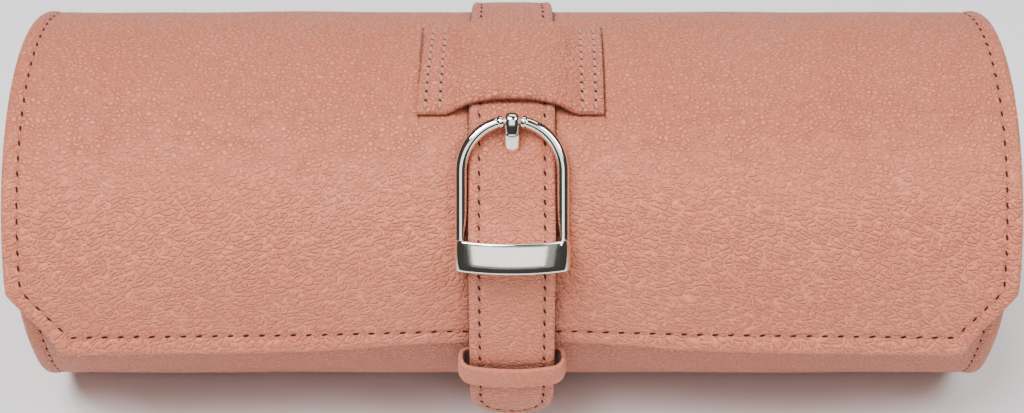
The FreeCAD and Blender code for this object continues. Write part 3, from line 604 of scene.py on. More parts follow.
# The lines are painted shade beside the strap and the loop's sides; front_shade paints shade on the base's front
# below the flap
SKIN = leather("pebble_leather", depth=0.00026, mark=0.42)
BASE_SKIN = leather(
    "base_pebble_leather", depth=0.00024, mark=0.38, lines=((10.5, 4.2, -9.0, 26.0, 0.34),),
    front_shade=(24.0, 62.0, 0.26, 0.0),
)
KEEPER_SKIN = leather("keeper_leather_skin", top=SHADED_PINK, depth=0.00012, mark=0.20)
FLAP_SKIN = leather("flap_pebble_leather", lines=(
    (9.9, 0.62, 25.0, 160.0, 0.72), (21.2, 0.55, 65.0, 96.0, 0.72), (9.6, 4.0, 100.0, 160.0, 0.26),
))
STRAP_SKIN = leather("strap_leather", depth=0.00032, zone=(60.0, 110.0))
THREAD = thread_material("thread", (0.62, 0.215, 0.145, 1.0))
LOOP_THREAD = thread_material("loop_thread", (0.70, 0.285, 0.20, 1.0))
HOLE = hole_material("needle_hole")
NICKEL = metal("polished_nickel")
LINING_MAT = suede("lining_suede", (0.62, 0.50, 0.40, 1.0))
CUSHION_MAT = suede("cushion_suede", (0.66, 0.54, 0.44, 1.0), nap_scale=2600.0)


# The wrap: flap, fold and trough as soft panels with turned edges
CUT_ACROSS, CUT_ALONG = 11.5, 14.3
CUT_RUN = math.hypot(CUT_ACROSS, CUT_ALONG)
CUT_SOFT = 1.6
FLARE, EDGE_DROP = 2.2, 1.2
LOOSE, ENDS_OUT, MIDDLE_IN = 46, 1.5, 0.42
STITCH_IN, GROOVE, GROOVE_WIDE = 3.7, 0.34, 0.55
SEAM_START = 0.9
RIM_DRAW = 1.4
BASE_TAG, LINING_TAG, WALL_TAG, STRAP_TAG, CHAPE_TAG, LOOP_TAG, KEEP_TAG = 200, 90, 300, 400, 500, 600, 700


def flap_half(s):
    slope = HALF_LENGTH - CUT_ACROSS + (FLAP_LEN - np.asarray(s, float)) * CUT_ACROSS / CUT_ALONG
    h = np.clip(0.5 + 0.5 * (slope - HALF_LENGTH) / CUT_SOFT, 0, 1)
    return slope * (1 - h) + HALF_LENGTH * h - CUT_SOFT * h * (1 - h)


def flap_inside(x, s):
    side, low = HALF_LENGTH - np.abs(x), FLAP_LEN - s
    cut = (side * CUT_ALONG + low * CUT_ACROSS - CUT_ACROSS * CUT_ALONG) / CUT_RUN
    return np.minimum(np.minimum(side, low), cut)


def flap_shift(x, s):
    """The loose lower edge: out at both ends, drawn in under the strap, its margin flared."""
    low = step(s, FLAP_LEN - LOOSE, FLAP_LEN)
    flare = FLARE * step(np.abs(x), 15, 46) * step(s, FLAP_LEN - 9, FLAP_LEN + 3) ** 2
    return low**1.5 * (ENDS_OUT * (np.abs(x) / HALF_LENGTH) ** 2 - MIDDLE_IN * bell(x, 0, 30)) + flare


def flap_relief(x, s, q):
    clear = step(np.abs(x), 20, 36)
    beside = bell(np.abs(x), 14.5, 5.0) * step(s, FLAP_LEN - 70, FLAP_LEN - 8)
    return (
        -GROOVE * bell(q, STITCH_IN, GROOVE_WIDE) + 0.30 * bell(q, 1.8, 1.0)
        + 0.24 * waves(x, s, 3) * clear * step(q, 3.5, 14) - 0.22 * beside
    )


def side_relief(x, s, q):
    return -GROOVE * bell(q, STITCH_IN, GROOVE_WIDE) + 0.20 * bell(q, 2.0, 1.0)


def base_half(s):
    """The trough draws in a little at its front rim."""
    return HALF_LENGTH - RIM_DRAW * (1 - step(s, 14, 46))


def base_relief(x, s, q):
    return side_relief(x, s, q) + 0.16 * waves(x, s, 5) * step(q, 4, 14) * step(np.abs(x), 12, 24)


def flap_surface(x, s, d):
    """The flap's sheet. Its margin below the stitches hangs lower away from the strap."""
    x, s, d = np.broadcast_arrays(x, s, d)
    hang = EDGE_DROP * step(np.abs(x), 12, 66) * step(s, FLAP_LEN - 5.5, FLAP_LEN)
    return on_path(flap_path)(x, s + hang, d)


flap = Sheet(
    flap_surface, rows_for(FLAP_LEN, 2.0, end_fine=True), flap_half, ("flat", "round"), flap_inside, flap_relief,
    flap_shift)
base = Sheet(
    on_path(base_path), rows_for(BASE_LEN, 2.0, start_fine=True), base_half, ("round", "flat"),
    relief=base_relief)
fold = Sheet(
    on_path(fold_path), np.linspace(0, FOLD_LEN, 13), even(HALF_LENGTH), ("flat", "flat"), relief=side_relief)
FOLD_START, FOLD_END = (fold.surface(np.zeros(1), np.full(1, s), np.zeros(1))[0] * MM for s in (0.0, FOLD_LEN))


def bend_at_fold(piece):
    tuple(FOLD_START)
    tuple(FOLD_END)
    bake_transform(piece)


# The flap's edge carries painted shade under it and a dark painted line on its brink
flap_skin = panel("flap_skin", flap, SHELL, square=2.8, dark_rim=0.7, edge_shade=0.62)
finish_piece(flap_skin, "flap", FLAP_SKIN, ("flap_leather", "flap_board"))
base_skin = panel("base_skin", base, SHELL, tag=BASE_TAG)
finish_piece(base_skin, "base", BASE_SKIN, ("base_leather", "base_board"))
fold_skin = panel("fold_skin", fold, SHELL)
finish_piece(fold_skin, bend_at_fold, FLAP_SKIN, ("wrap_fold",))


def flap_seam(inset):
    """The stitch line round the flap, inset from its edge and its cut corners."""
    cut = CUT_ACROSS * CUT_ALONG + inset * CUT_RUN
    low_gap = (cut - inset * CUT_ALONG) / CUT_ACROSS
    side_gap = (cut - inset * CUT_ACROSS) / CUT_ALONG
    half = [(HALF_LENGTH - inset, s) for s in np.linspace(SEAM_START, FLAP_LEN - low_gap, 120)]
    half += [(HALF_LENGTH - side_gap, FLAP_LEN - inset)]
    return half + [(-x, s) for x, s in half[::-1]]


STITCH = dict(pitch=3.6, stitch=1.85, gauge=0.30, hole=(1.45, 0.48), slant=4.0, sink=0.10)
BASE_STITCH = dict(STITCH, hole=(1.05, 0.42))
base_side = [(base_half(s) - STITCH_IN, s) for s in np.linspace(STITCH_IN, BASE_LEN - SEAM_START, 90)]
base_line = [(-x, s) for x, s in base_side[::-1]] + base_side
fold_lines = [
    [(side * (HALF_LENGTH - STITCH_IN), s) for s in np.linspace(SEAM_START, FOLD_LEN - SEAM_START, 9)]
    for side in (-1, 1)
]
sew("flap_stitching", "flap", flap, [flap_seam(STITCH_IN)], **STITCH)
sew("base_stitching", "base", base, [base_line], **BASE_STITCH)
sew("fold_stitching", bend_at_fold, fold, fold_lines, **STITCH)


# Linings: thin suede inside each panel
LIN_IN, LIN_GAP = 2.2, 0.02
LIN_INSETS = (0, 0.03, 0.1, 0.3, 0.7, 1.4, 2.6, 4.2)
LIN_EDGE = LIN_IN + np.array(LIN_INSETS)


def lining(name, path, rows, carrier, nodes, half=even(HALF_LENGTH - LIN_IN), ends=("flat", "flat"), shift=None):
    sheet = Sheet(on_path(path, -SHELL - LIN_GAP), rows, half, ends, shift=shift)
    obj = panel(name, sheet, LINING, insets=LIN_INSETS, mids=70, tag=LINING_TAG)
    finish_piece(obj, carrier, LINING_MAT, nodes)


flap_rows = np.concatenate([np.linspace(0, FLAP_LEN - 7, 62), FLAP_LEN - LIN_EDGE[::-1]])
base_rows = np.concatenate([LIN_EDGE, np.linspace(7, BASE_LEN, 56)])
lining(
    "flap_inside_lining", flap_path, flap_rows, "flap", ("flap_lining",),
    lambda s: flap_half(s + LIN_IN) - LIN_IN, ("flat", "round"), flap_shift)
lining("base_inside_lining", base_path, base_rows, "base", ("base_lining",), ends=("round", "flat"))
lining("fold_inside_lining", fold_path, np.linspace(0, FOLD_LEN, 9), bend_at_fold, ())


# End walls and dividers: plates with rounded rims
WALL_R, WALL_FOOT = 41.8, 3.2 - AXIS
CAP_X, CAP_T, CAP_EDGE, CAP_DOME = 113.0, 1.2, 0.6, 0.9
PAD_X, PAD_T, PAD_EDGE = 111.75, 3.0, 1.2
BAY_PITCH, DIVIDER_T, DIVIDER_EDGE = 55.125, 3.0, 1.45
DIVIDER_RISE, DIVIDER_CORNER = 14.0, 9.0


def plate(name, outline, x_out, thick, side, edge, dome=0.0, rings=14):
    """A plate across the roll, from (forward, up) points. side is the way that its domed face looks."""
    pts = np.array(outline, float)
    centre = pts.mean(0)
    span = np.linalg.norm(pts - centre, axis=1, keepdims=True)
    way = (pts - centre) / span
    insets = [edge * (1 - math.cos(a)) for a in np.linspace(0, math.pi / 2, 6)]
    steps = [(c, 1.0, edge - math.sqrt(max(0, edge**2 - (edge - c) ** 2))) for c in insets]
    steps += [(edge, share, 0.0) for share in np.linspace(1, 0, rings + 1)[1:-1]]
    verts, faces, count, each, turn = [], [], len(pts), len(steps), side > 0
    for front in (True, False):
        for inset, share, depth in steps:
            rise = dome * (1 - share**2) * step(share, 1.2, 0.6)
            x = side * (x_out - depth + rise if front else x_out - thick + depth)
            verts += [(x, -a, AXIS + b) for a, b in centre + way * (span - inset) * share]
    verts += [(side * x, -centre[0], AXIS + centre[1]) for x in (x_out + dome, x_out - thick)]
    strips = [(i, i + 1, turn) for i in range(each - 1)]
    strips += [(i, i + 1, not turn) for i in range(each, 2 * each - 1)] + [(each, 0, turn)]
    for k in range(count):
        m = (k + 1) % count
        made = [((a * count + k, a * count + m, b * count + m, b * count + k), flip) for a, b, flip in strips]
        for ring, hub, flip in ((each - 1, len(verts) - 2, turn), (2 * each - 1, len(verts) - 1, not turn)):
            made.append(((ring * count + k, ring * count + m, hub), flip))
        faces += [f[::-1] if flip else f for f, flip in made]
    return new_mesh(name, verts, faces, [(v[1], v[2], WALL_TAG + side * 20) for v in verts])


def on_wall(degrees):
    """Points on the end walls' round, flat at the foot."""
    return [(f, max(u, WALL_FOOT)) for f, u in WALL_R * ray(degrees)]


def divider_outline():
    """A level top, a corner arc tangent to it and to the round side, and the round below."""
    up = DIVIDER_RISE - DIVIDER_CORNER
    ahead = math.sqrt((WALL_R - DIVIDER_CORNER) ** 2 - up**2)
    touch = math.degrees(math.atan2(up, ahead))
    pts = [tuple(p) for p in np.array([ahead, up]) + DIVIDER_CORNER * ray(np.linspace(90, touch, 14))]
    pts += on_wall(np.linspace(touch, -180 - touch, 120)[1:-1])
    pts += [tuple(p) for p in np.array([-ahead, up]) + DIVIDER_CORNER * ray(np.linspace(180 - touch, 90, 14))]
    width = pts[0][0] - pts[-1][0]
    pts += [(pts[-1][0] + width * t, DIVIDER_RISE) for t in np.linspace(0, 1, 26)[1:-1]]
    return pts[::-1]


wall_outline = on_wall(np.linspace(0, 360, 150, endpoint=False))
for side, hand in ((-1, "left"), (1, "right")):
    cap = plate(f"end_cap_{hand}", wall_outline, CAP_X, CAP_T, side, CAP_EDGE, CAP_DOME)
    finish_piece(cap, "base", SKIN, (f"end_leather_{hand}",))
    pad = plate(f"end_lining_{hand}", wall_outline, PAD_X, PAD_T, side, PAD_EDGE)
    finish_piece(pad, "base", LINING_MAT, (f"end_board_{hand}",))
for number in (1, 2, 3):
    face_x = (number - 2) * BAY_PITCH + DIVIDER_T / 2
    wall = plate(f"divider_{number}_cover", divider_outline(), face_x, DIVIDER_T, 1, DIVIDER_EDGE)
    finish_piece(wall, "base", LINING_MAT, (f"divider_{number}",))


# Strap, buckle strap and their stations in the section plane
LAY_GAP, CHAPE, STRAP_T = 0.2, 1.2, 2.15
STRAP_HALF, STRAP_SEAM = 9.8, 2.4
SEAM_X = STRAP_HALF - STRAP_SEAM
BAR_ANGLE, BUCKLE_ANGLE = 23.4, 39.2
BAR = np.array([45.834, 19.834])
RUN_OUT = ray(-4.0)
RUN_DOWN = np.array([RUN_OUT[1], -RUN_OUT[0]])
RUN_START = np.array([49.403, -5.131])
RUN_LENGTH = 11.0
RUN_END = RUN_START + RUN_DOWN * RUN_LENGTH
KEEP_MID = RUN_START + RUN_DOWN * RUN_LENGTH / 2
KEEP_HALF, KEEP_T, KEEP_TALL = 12.4, 1.3, 6.0
ROOT_ANGLE = -37.0
TIP_DROP, TIP_IN = 13.4, 3.6


def flap_reach(degrees):
    """How far the flap lies from the roll's axis."""
    if degrees >= BLEND:
        return ROLL_R
    t = math.radians(degrees - BLEND)
    return math.sqrt(FRONT_R**2 - (SWELL * math.sin(t)) ** 2) - SWELL * math.cos(t)


def run_points(out):
    """The straight run through the keeper."""
    return [RUN_START + RUN_OUT * out + RUN_DOWN * RUN_LENGTH * i / 4 for i in range(5)]


OVER_CHAPE = LAY_GAP + CHAPE + LAY_GAP
stations = [(flap_reach(a) + LAY_GAP) * ray(a) for a in np.linspace(152, 40, 11)]
stations += [(flap_reach(33) + LAY_GAP + 0.9) * ray(33)]
stations += [BAR + 1.85 * ray(BAR_ANGLE + a) for a in (24, 0, -18)]
stations += [(flap_reach(a) + OVER_CHAPE + more) * ray(a) for a, more in ((14, 0.7), (8, 0.12), (2, 0))]
stations += run_points(CHAPE + LAY_GAP)
stations += [RUN_END + RUN_OUT * (CHAPE + LAY_GAP - TIP_IN) + RUN_DOWN * TIP_DROP]
strap_path, STRAP_LEN = spline_path(stations)
TIP_CENTRE = STRAP_LEN - STRAP_HALF


def strap_half(s):
    past = np.clip(np.asarray(s, float) - TIP_CENTRE, 0, STRAP_HALF)
    return np.sqrt(np.maximum(STRAP_HALF**2 - past**2, 0.25))


def strap_inside(x, s):
    return np.minimum(STRAP_HALF - np.hypot(x, np.maximum(s - TIP_CENTRE, 0)), s)


def strap_relief(x, s, q):
    return -0.30 * bell(q, STRAP_SEAM, 0.45) + 0.10 * step(q, 2.6, 6) + 0.10 * bell(q, 1.4, 0.6)


def strap_distance(spot):
    """How far along the strap its path passes closest to a spot."""
    along = np.linspace(0, STRAP_LEN, 3000)
    return along[np.argmin(np.linalg.norm(strap_path(along)[0] - spot, axis=1))]


UNDER_KEEPER = strap_distance(KEEP_MID)


def strap_shade_paint(x, s):
    """Painted shadow above the keeper, and painted shade toward the tip."""
    above = bell(s, UNDER_KEEPER - 2.2 - 1.4 * (x / KEEP_HALF) ** 2, 2.0)
    uneven = 0.85 + 0.35 * waves(x, s, 31, (2.2, 3.1, 4.3))
    return 0.40 * above * uneven + 0.09 * step(s, STRAP_LEN - 20, STRAP_LEN - 7)


STRAP_INSETS = (0, 0.07, 0.24, 0.5, 0.8, 1.1, 1.5, 1.85, 2.1, 2.4, 2.7, 3.0, 3.6, 4.6)
STRAP_STITCH = dict(pitch=3.3, stitch=1.8, gauge=0.27, hole=(1.35, 0.52), slant=7.0, sink=0.05)
strap_rows = np.concatenate([
    STRAP_INSETS[:-1], np.linspace(STRAP_INSETS[-1], TIP_CENTRE, 150)[:-1],
    STRAP_LEN - STRAP_HALF * (1 - np.sin(np.linspace(0, math.pi / 2, 26)[:-1])), [STRAP_LEN - 0.012],
])
strap = Sheet(on_path(strap_path, STRAP_T), strap_rows, strap_half, inside=strap_inside, relief=strap_relief)
# The strap's edges carry painted shade under them and on their brink
strap_leather = panel(
    "closing_strap", strap, STRAP_T, STRAP_INSETS, 10, STRAP_TAG, dark_rim=0.75, edge_shade=0.3, shade_paint=strap_shade_paint)
finish_piece(strap_leather, "flap", STRAP_SKIN, ("strap_face", "strap_backing"))
strap_line = [(SEAM_X, s) for s in np.linspace(STRAP_SEAM, TIP_CENTRE, 160)]
strap_line += [(SEAM_X * c, TIP_CENTRE + SEAM_X * v) for c, v in heading(np.linspace(0, math.pi / 2, 16)[1:])]
strap_line += [(-x, s) for x, s in strap_line[::-1][1:]]
strap_end = [(x, STRAP_SEAM) for x in np.linspace(SEAM_X, -SEAM_X, 12)]
sew("strap_stitching", "flap", strap, [strap_line, strap_end], **STRAP_STITCH)

# Buckle strap: hooked round the bar, over the flap's edge, sewn to the trough. Stations with thicknesses.
HOOK_R, HOOK_T = 1.02, 0.74
LANDING = ((6, 0.9), (3, 0.1), (0, 0))
hang = [(BAR + HOOK_R * ray(BAR_ANGLE + a), HOOK_T) for a in (-75, -45, -15, 15, 45, 75, 105, 135, 160)]
hang += [
    ((flap_reach(BAR_ANGLE + a) + inner + t) * ray(BAR_ANGLE + a), t)
    for a, inner, t in ((-3.0, 1.30, 0.86), (-8.0, 0.95, 1.05), (-12.0, 0.6, 1.2))
]
hang += [((flap_reach(a) + LAY_GAP + CHAPE) * ray(a), CHAPE) for a in (6, 1)]
hang += [(p, CHAPE) for p in run_points(CHAPE)]
first_touch = (ROLL_R + LAY_GAP + LANDING[0][1]) * ray(ROOT_ANGLE + LANDING[0][0])
hang += [((RUN_END + first_touch) / 2 + (0.9 + CHAPE) * ray(ROOT_ANGLE / 2), CHAPE)]
hang += [((ROLL_R + LAY_GAP + lift + CHAPE) * ray(ROOT_ANGLE + a), CHAPE) for a, lift in LANDING]
hang += [((ROLL_R + 0.08 + CHAPE) * ray(ROOT_ANGLE - a), CHAPE) for a in (4, 8, 12, 14)]
chape_points, chape_sizes = zip(*hang)
chape_path, CHAPE_LEN = spline_path(chape_points)
chape_at = run_of(chape_points)
chape_at *= CHAPE_LEN / chape_at[-1]


def chape_thick(s):
    return np.interp(s, chape_at, chape_sizes)


def chape_relief(x, s, q):
    return -0.16 * bell(q, STRAP_SEAM, 0.42)


def in_metres(spot):
    """A spot of the section plane on the roll's middle, in the scene."""
    return (0.0, -spot[0] * MM, (spot[1] + AXIS) * MM)


root_low = in_metres(ROLL_R * ray(ROOT_ANGLE - 2.5))
root_high = in_metres((ROLL_R + 1.0) * ray(ROOT_ANGLE + 4.5))


def bend_at_root(piece):
    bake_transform(piece)


chape_rows = rows_for(CHAPE_LEN, 0.7, True, True, STRAP_INSETS)
chape = Sheet(on_path(chape_path), chape_rows, even(STRAP_HALF), relief=chape_relief)
# Painted shade under the buckle strap's edges
chape_leather = panel("buckle_strap_leather", chape, chape_thick, STRAP_INSETS, 10, CHAPE_TAG, dark_rim=0.75)
finish_piece(chape_leather, bend_at_root, STRAP_SKIN, ("buckle_strap", "buckle_strap_anchor"))
chape_lines = [[(side * SEAM_X, s) for s in np.linspace(14, CHAPE_LEN - STRAP_SEAM, 60)] for side in (-1, 1)]
chape_lines += [[(x, CHAPE_LEN - up) for x in np.linspace(-SEAM_X, SEAM_X, 12)] for up in (STRAP_SEAM, 9.0)]
sew("buckle_strap_stitching", bend_at_root, chape, chape_lines, **STRAP_STITCH)

# Loop on top of the flap: flat sewn ends and an arched middle
LOOP_ANGLE, LOOP_HALF, LOOP_TALL, LOOP_BACK, LOOP_T = 82.0, 21.0, 15.25, 11.0, 1.7
LOOP_SKEW, LOOP_RISE, LOOP_CROWN = 0.75, 2.6, 0.75
LOOP_ROWS_X = (1.9, 5.0)
LOOP_INSETS = (
    0, 0.05, 0.18, 0.38, 0.65, 1.0, 1.4, 1.9, 2.4, 3.0, 3.6, 4.3, 4.7, 5.0, 5.4, 6.0, 6.8, 7.6, 8.4, 9.2, 10.2,
    11.2)


def loop_surface(x, s, d):
    x, s, d = np.broadcast_arrays(x, s, d)
    x = x - LOOP_SKEW * (s / LOOP_TALL) * step(-x, 8, LOOP_HALF)
    rise = LOOP_RISE + LOOP_CROWN * (1 - np.minimum(1, (x / 10.4) ** 2))
    rise = rise * (1 - step(np.abs(x), 9.6, 15.8))
    arch = 1 - step(np.abs(x), 3.0, 15.5)
    front, back = LOOP_TALL - 1.2 * arch, -LOOP_BACK + 0.6 * arch
    t = back + (s + LOOP_TALL) / (2 * LOOP_TALL) * (front - back)
    r = ROLL_R + LAY_GAP + LOOP_T + rise + d
    turn = np.radians(LOOP_ANGLE) - np.arcsin(t / r)
    return np.stack([x, -r * np.cos(turn), AXIS + r * np.sin(turn)], -1)


def loop_relief(x, s, q):
    side = LOOP_HALF - np.abs(x)
    return (
        -0.30 * sum(bell(side, c, 0.5) for c in LOOP_ROWS_X) + 0.12 * bell(side, 3.45, 0.9)
        + 0.26 * step(q, 0.5, 1.7) + 0.12 * waves(x, s, 9, (9, 14, 21)) * step(np.abs(x), 16, 9)
    )


LOOP_STITCH = dict(
    pitch=2.7, stitch=2.15, gauge=0.48, hole=(1.05, 0.60), slant=11.0, sink=-0.04, end_holes=False,
    thread=LOOP_THREAD)
loop_rows = rows_for(2 * LOOP_TALL, 0.8, True, True, STRAP_INSETS) - LOOP_TALL
loop = Sheet(loop_surface, loop_rows, even(LOOP_HALF), relief=loop_relief)
# Painted shade under the loop's edges
loop_leather = panel("strap_loop_leather", loop, LOOP_T, LOOP_INSETS, 14, LOOP_TAG, square=3.4, dark_rim=0.35)
finish_piece(loop_leather, "flap", STRAP_SKIN, ("strap_loop",))
loop_lines = [
    [(side * (LOOP_HALF - c), s) for s in np.linspace(-LOOP_TALL + 0.35, LOOP_TALL - 0.35, 24)]
    for side in (-1, 1) for c in LOOP_ROWS_X
]
sew("loop_stitching", "flap", loop, loop_lines, **LOOP_STITCH)

# Keeper: a soft leather ring round both straps
KEEP_GAP, KEEP_CORNER, KEEP_BOW, KEEP_CROWN = 0.35, 2.7, 0.55, 0.10
KEEP_SMILE = 1.4


def keeper_ring():
    """The ring's outer line in (x, out), anticlockwise seen from above, with its bowed front."""
    top = CHAPE + LAY_GAP + STRAP_T + KEEP_GAP + KEEP_T
    high, low = top - KEEP_CORNER, KEEP_CORNER - KEEP_GAP - KEEP_T
    pts = []
    for hand, up, start in ((1, high, 0), (-1, high, 90), (-1, low, 180), (1, low, 270)):
        centre = np.array([hand * (KEEP_HALF - KEEP_CORNER), up])
        pts += list(centre + KEEP_CORNER * ray(start + np.linspace(0, 90, 12)))
    pts += pts[:1]
    dense = []
    for a, b in zip(pts[:-1], pts[1:]):
        n = max(1, int(np.linalg.norm(b - a) / 0.5))
        dense += [a + (b - a) * i / n for i in range(n)]
    dense = np.array(dense)
    front = np.clip(dense[:, 1] / top, 0, 1)
    dense[:, 1] += KEEP_BOW * front * (1 - (dense[:, 0] / KEEP_HALF) ** 2)
    return dense


def keeper_mesh():
    ring = keeper_ring()
    out = -left_of(unit(np.roll(ring, -1, 0) - np.roll(ring, 1, 0)))
    r = KEEP_T / 2
    flat_half = KEEP_TALL / 2 - r
    bend = [(flat_half + r * c, r * v - r) for c, v in ray(np.linspace(90, -90, 9))]
    section = [(h, KEEP_CROWN) for h in np.linspace(0.4 - flat_half, flat_half - 0.4, 8)]
    section += bend + [(-h, d) for h, d in bend[::-1]]
    verts, flat, painted_shade = [], [], []
    for spot, way, at in zip(ring, out, run_of(ring)):
        for h, d in section:
            x, lift = spot + way * d
            p = KEEP_MID + RUN_OUT * lift - RUN_DOWN * (h + KEEP_SMILE * (x / KEEP_HALF) ** 2)
            verts.append((x, -p[0], AXIS + p[1]))
            flat.append((at, h + d, KEEP_TAG))
            # The ring's inner face carries painted shade
            painted_shade.append(0.8 if d < -0.8 * KEEP_T else 0.0)
    faces = loft(len(ring) + 1, len(section), caps=(False, False))
    faces = [tuple(c % len(verts) for c in f) for f in faces]
    return new_mesh("keeper_leather", verts, faces, flat, painted_shade=painted_shade)


finish_piece(keeper_mesh(), "keeper", KEEPER_SKIN, ("keeper_loop",))

# Buckle: in its own frame, Y up the strap and Z away from it, about the bar
TILT = math.radians(90 - BUCKLE_ANGLE)
BUCKLE = Matrix.Translation(Vector((0, -BAR[0], AXIS + BAR[1]))) @ Matrix.Rotation(TILT, 4, "X")
RAIL, ARCH_Y, ARCH_FOOT, WIRE_R, NECK_R, BAR_R = 11.5, 18.8, -2.2, 1.35, 0.75, 0.95
APEX_Y = ARCH_Y + RAIL
# Distances from the arch's top, and the wire's radius there: a thin neck between two beads
NECK_AT = (0, 1.95, 2.05, 2.15, 2.5, 2.9, 3.2, 3.5, 60)
NECK_SIZES = (NECK_R, NECK_R, 1.2, 1.42, 1.52, 1.48, 1.30, 1.33, WIRE_R)
PLATE_OUT, PLATE_Z, PLATE_FOOT, PLATE_CORNER, PLATE_TURN = 12.85, 5.85, -0.6, 2.6, math.pi / 2 - 0.14
PLATE_HALF, PLATE_T, PLATE_EDGE, PLATE_CROWN = 3.45, 1.5, 0.45, 0.18
BOW, PLATE_SAG, PLATE_UP = 1.1, 0.8, 0.3


def to_world(points):
    m = np.array(BUCKLE)
    return np.asarray(points, float) @ m[:3, :3].T + m[:3, 3]


def tube(points, radii, sides=28, up=(0, 0, 1)):
    """Rings round a line of points, with closed ends."""
    pts = np.asarray(points, float)
    tangent = tangents(pts)
    b = unit(np.cross(tangent, np.asarray(up, float)))
    c = np.cross(b, tangent)
    a = around(sides)[None, :, None]
    verts = pts[:, None] + np.asarray(radii)[:, None, None] * (np.cos(a) * b[:, None] + np.sin(a) * c[:, None])
    return verts.reshape(-1, 3), loft(len(pts), sides)


def slab_along(line, half_width, thick, edge, crown):
    """A bar of rounded rectangular section with a crowned face along a line in (x, z), its width along Y."""
    pts = np.asarray(line, float)
    flat_half = half_width - edge
    section = []
    for hand, up, start in ((1, -edge, 0), (-1, -edge, 90), (-1, edge - thick, 180), (1, edge - thick, 270)):
        section += [(hand * flat_half + edge * c, up + edge * v) for c, v in ray(start + np.linspace(0, 90, 6))]
        if start == 0:
            face = np.linspace(flat_half, -flat_half, 9)[1:-1]
            section += [(y, crown * (1 - (y / half_width) ** 2)) for y in face]
    verts = [
        (p[0] + n[0] * d, y, p[1] + n[1] * d) for p, n in zip(pts, left_of(tangents(pts))) for y, d in section]
    return np.array(verts), loft(len(pts), len(section), flip=True)


def joined(parts):
    verts, faces, base = [], [], 0
    for v, f in parts:
        verts.append(v)
        faces += [tuple(base + c for c in face) for face in f]
        base += len(v)
    return np.concatenate(verts), faces


rail = [(-RAIL, y, 0) for y in np.linspace(ARCH_FOOT, ARCH_Y, 40)[:-1]]
arch = [(-RAIL * c, ARCH_Y + RAIL * v, 0) for c, v in heading(np.linspace(0, math.pi, 181))]
arch_pts = np.array(rail + arch + [(-x, y, z) for x, y, z in rail[::-1]])
arch_s = run_of(arch_pts)
arch_top = arch_s[-1] / 2
fine_s = np.unique(np.concatenate([arch_s, arch_top + np.linspace(-3.8, 3.8, 90)]))
arch_r = np.interp(np.abs(fine_s - arch_top), NECK_AT, NECK_SIZES)
bar_line = [(x, 0, 0) for x in np.linspace(-RAIL, RAIL, 12)]
plate_end = [(-PLATE_OUT, z) for z in np.linspace(PLATE_FOOT, PLATE_Z - PLATE_CORNER, 12)]
plate_end += [
    (-PLATE_OUT + PLATE_CORNER * (1 - c), PLATE_Z - PLATE_CORNER + PLATE_CORNER * v)
    for c, v in heading(np.linspace(0, PLATE_TURN, 14)[1:])
]
shoulder_x, shoulder_z = plate_end[-1]
plate_line = plate_end + [
    (x, shoulder_z + (PLATE_Z + BOW - shoulder_z) * (1 - (x / shoulder_x) ** 2))
    for x in np.linspace(shoulder_x, -shoulder_x, 46)[1:-1]
] + [(-x, z) for x, z in plate_end[::-1]]
plate_verts, plate_faces = slab_along(plate_line, PLATE_HALF, PLATE_T, PLATE_EDGE, PLATE_CROWN)
plate_verts[:, 1] -= PLATE_SAG * (1 - (plate_verts[:, 0] / PLATE_OUT) ** 2) - PLATE_UP
frame_verts, frame_faces = joined([
    tube(sample(arch_pts, arch_s, fine_s), arch_r), tube(bar_line, np.full(len(bar_line), BAR_R), sides=18),
    (plate_verts, plate_faces),
])
buckle = new_mesh("buckle_frame_polished", to_world(frame_verts), frame_faces, sharp=0.9)
finish_piece(buckle, "buckle_strap", NICKEL, ("buckle_frame",))

# Prong: a crowned curl round the neck, then a slightly wider tongue whose round end dips into the strap's slot
CURL_R, CURL_TURN, CURL_POINTS = 1.91, 205.0, 36
PRONG_REACH, PRONG_FLAT, PRONG_BEND = 7.5, 4.34, 1.055
PRONG_HALF, PRONG_CROWN, PRONG_THICK = 1.52, 0.80, 1.08
SHOULDER, SHOULDER_HALF, SHOULDER_UP = 3.2, 0.20, 0.10
DIP = np.array([(-PRONG_FLAT, 0.855), (-7.15, -0.5), (-PRONG_REACH, -1.78)])
tongue = [
    (APEX_Y + CURL_R * v, CURL_R * c) for c, v in heading(np.linspace(math.radians(CURL_TURN), 0, CURL_POINTS))]
tongue += [(APEX_Y - PRONG_FLAT * t, CURL_R - PRONG_BEND * t * t) for t in np.linspace(0, 1, 40)[1:]]
for t in np.linspace(0, 1, 22)[1:]:
    y, n = DIP[0] * (1 - t) ** 2 + DIP[1] * 2 * t * (1 - t) + DIP[2] * t * t
    tongue.append((APEX_Y + y, n))
tongue = np.array(tongue)


def prong_mesh(sides=32):
    out = -left_of(tangents(tongue))
    out *= np.sign(out[5] @ (tongue[5] - [APEX_Y, 0]))
    verts = []
    for i, (p, o) in enumerate(zip(tongue, out)):
        below = APEX_Y - p[0] if i > CURL_POINTS else 0.0
        second = float(step(below, SHOULDER, SHOULDER + 0.12))
        tip = np.clip((below - PRONG_REACH + 1.45) / 1.7, 0, 1)
        width = (PRONG_HALF + SHOULDER_HALF * second) * math.sqrt(1 - tip * tip)
        crown = PRONG_CROWN + SHOULDER_UP * second
        for c, v in heading(around(sides)):
            x = width * np.sign(c) * abs(c) ** 0.75
            d = SHOULDER_UP * second - crown + (crown * v if v > 0 else (PRONG_THICK - PRONG_CROWN) * v)
            verts.append((x, p[0] + o[0] * d, p[1] + o[1] * d))
    return new_mesh("prong_polished", to_world(verts), loft(len(tongue), sides), sharp=0.9)


finish_piece(prong_mesh(), "prong", NICKEL, ("prong",))

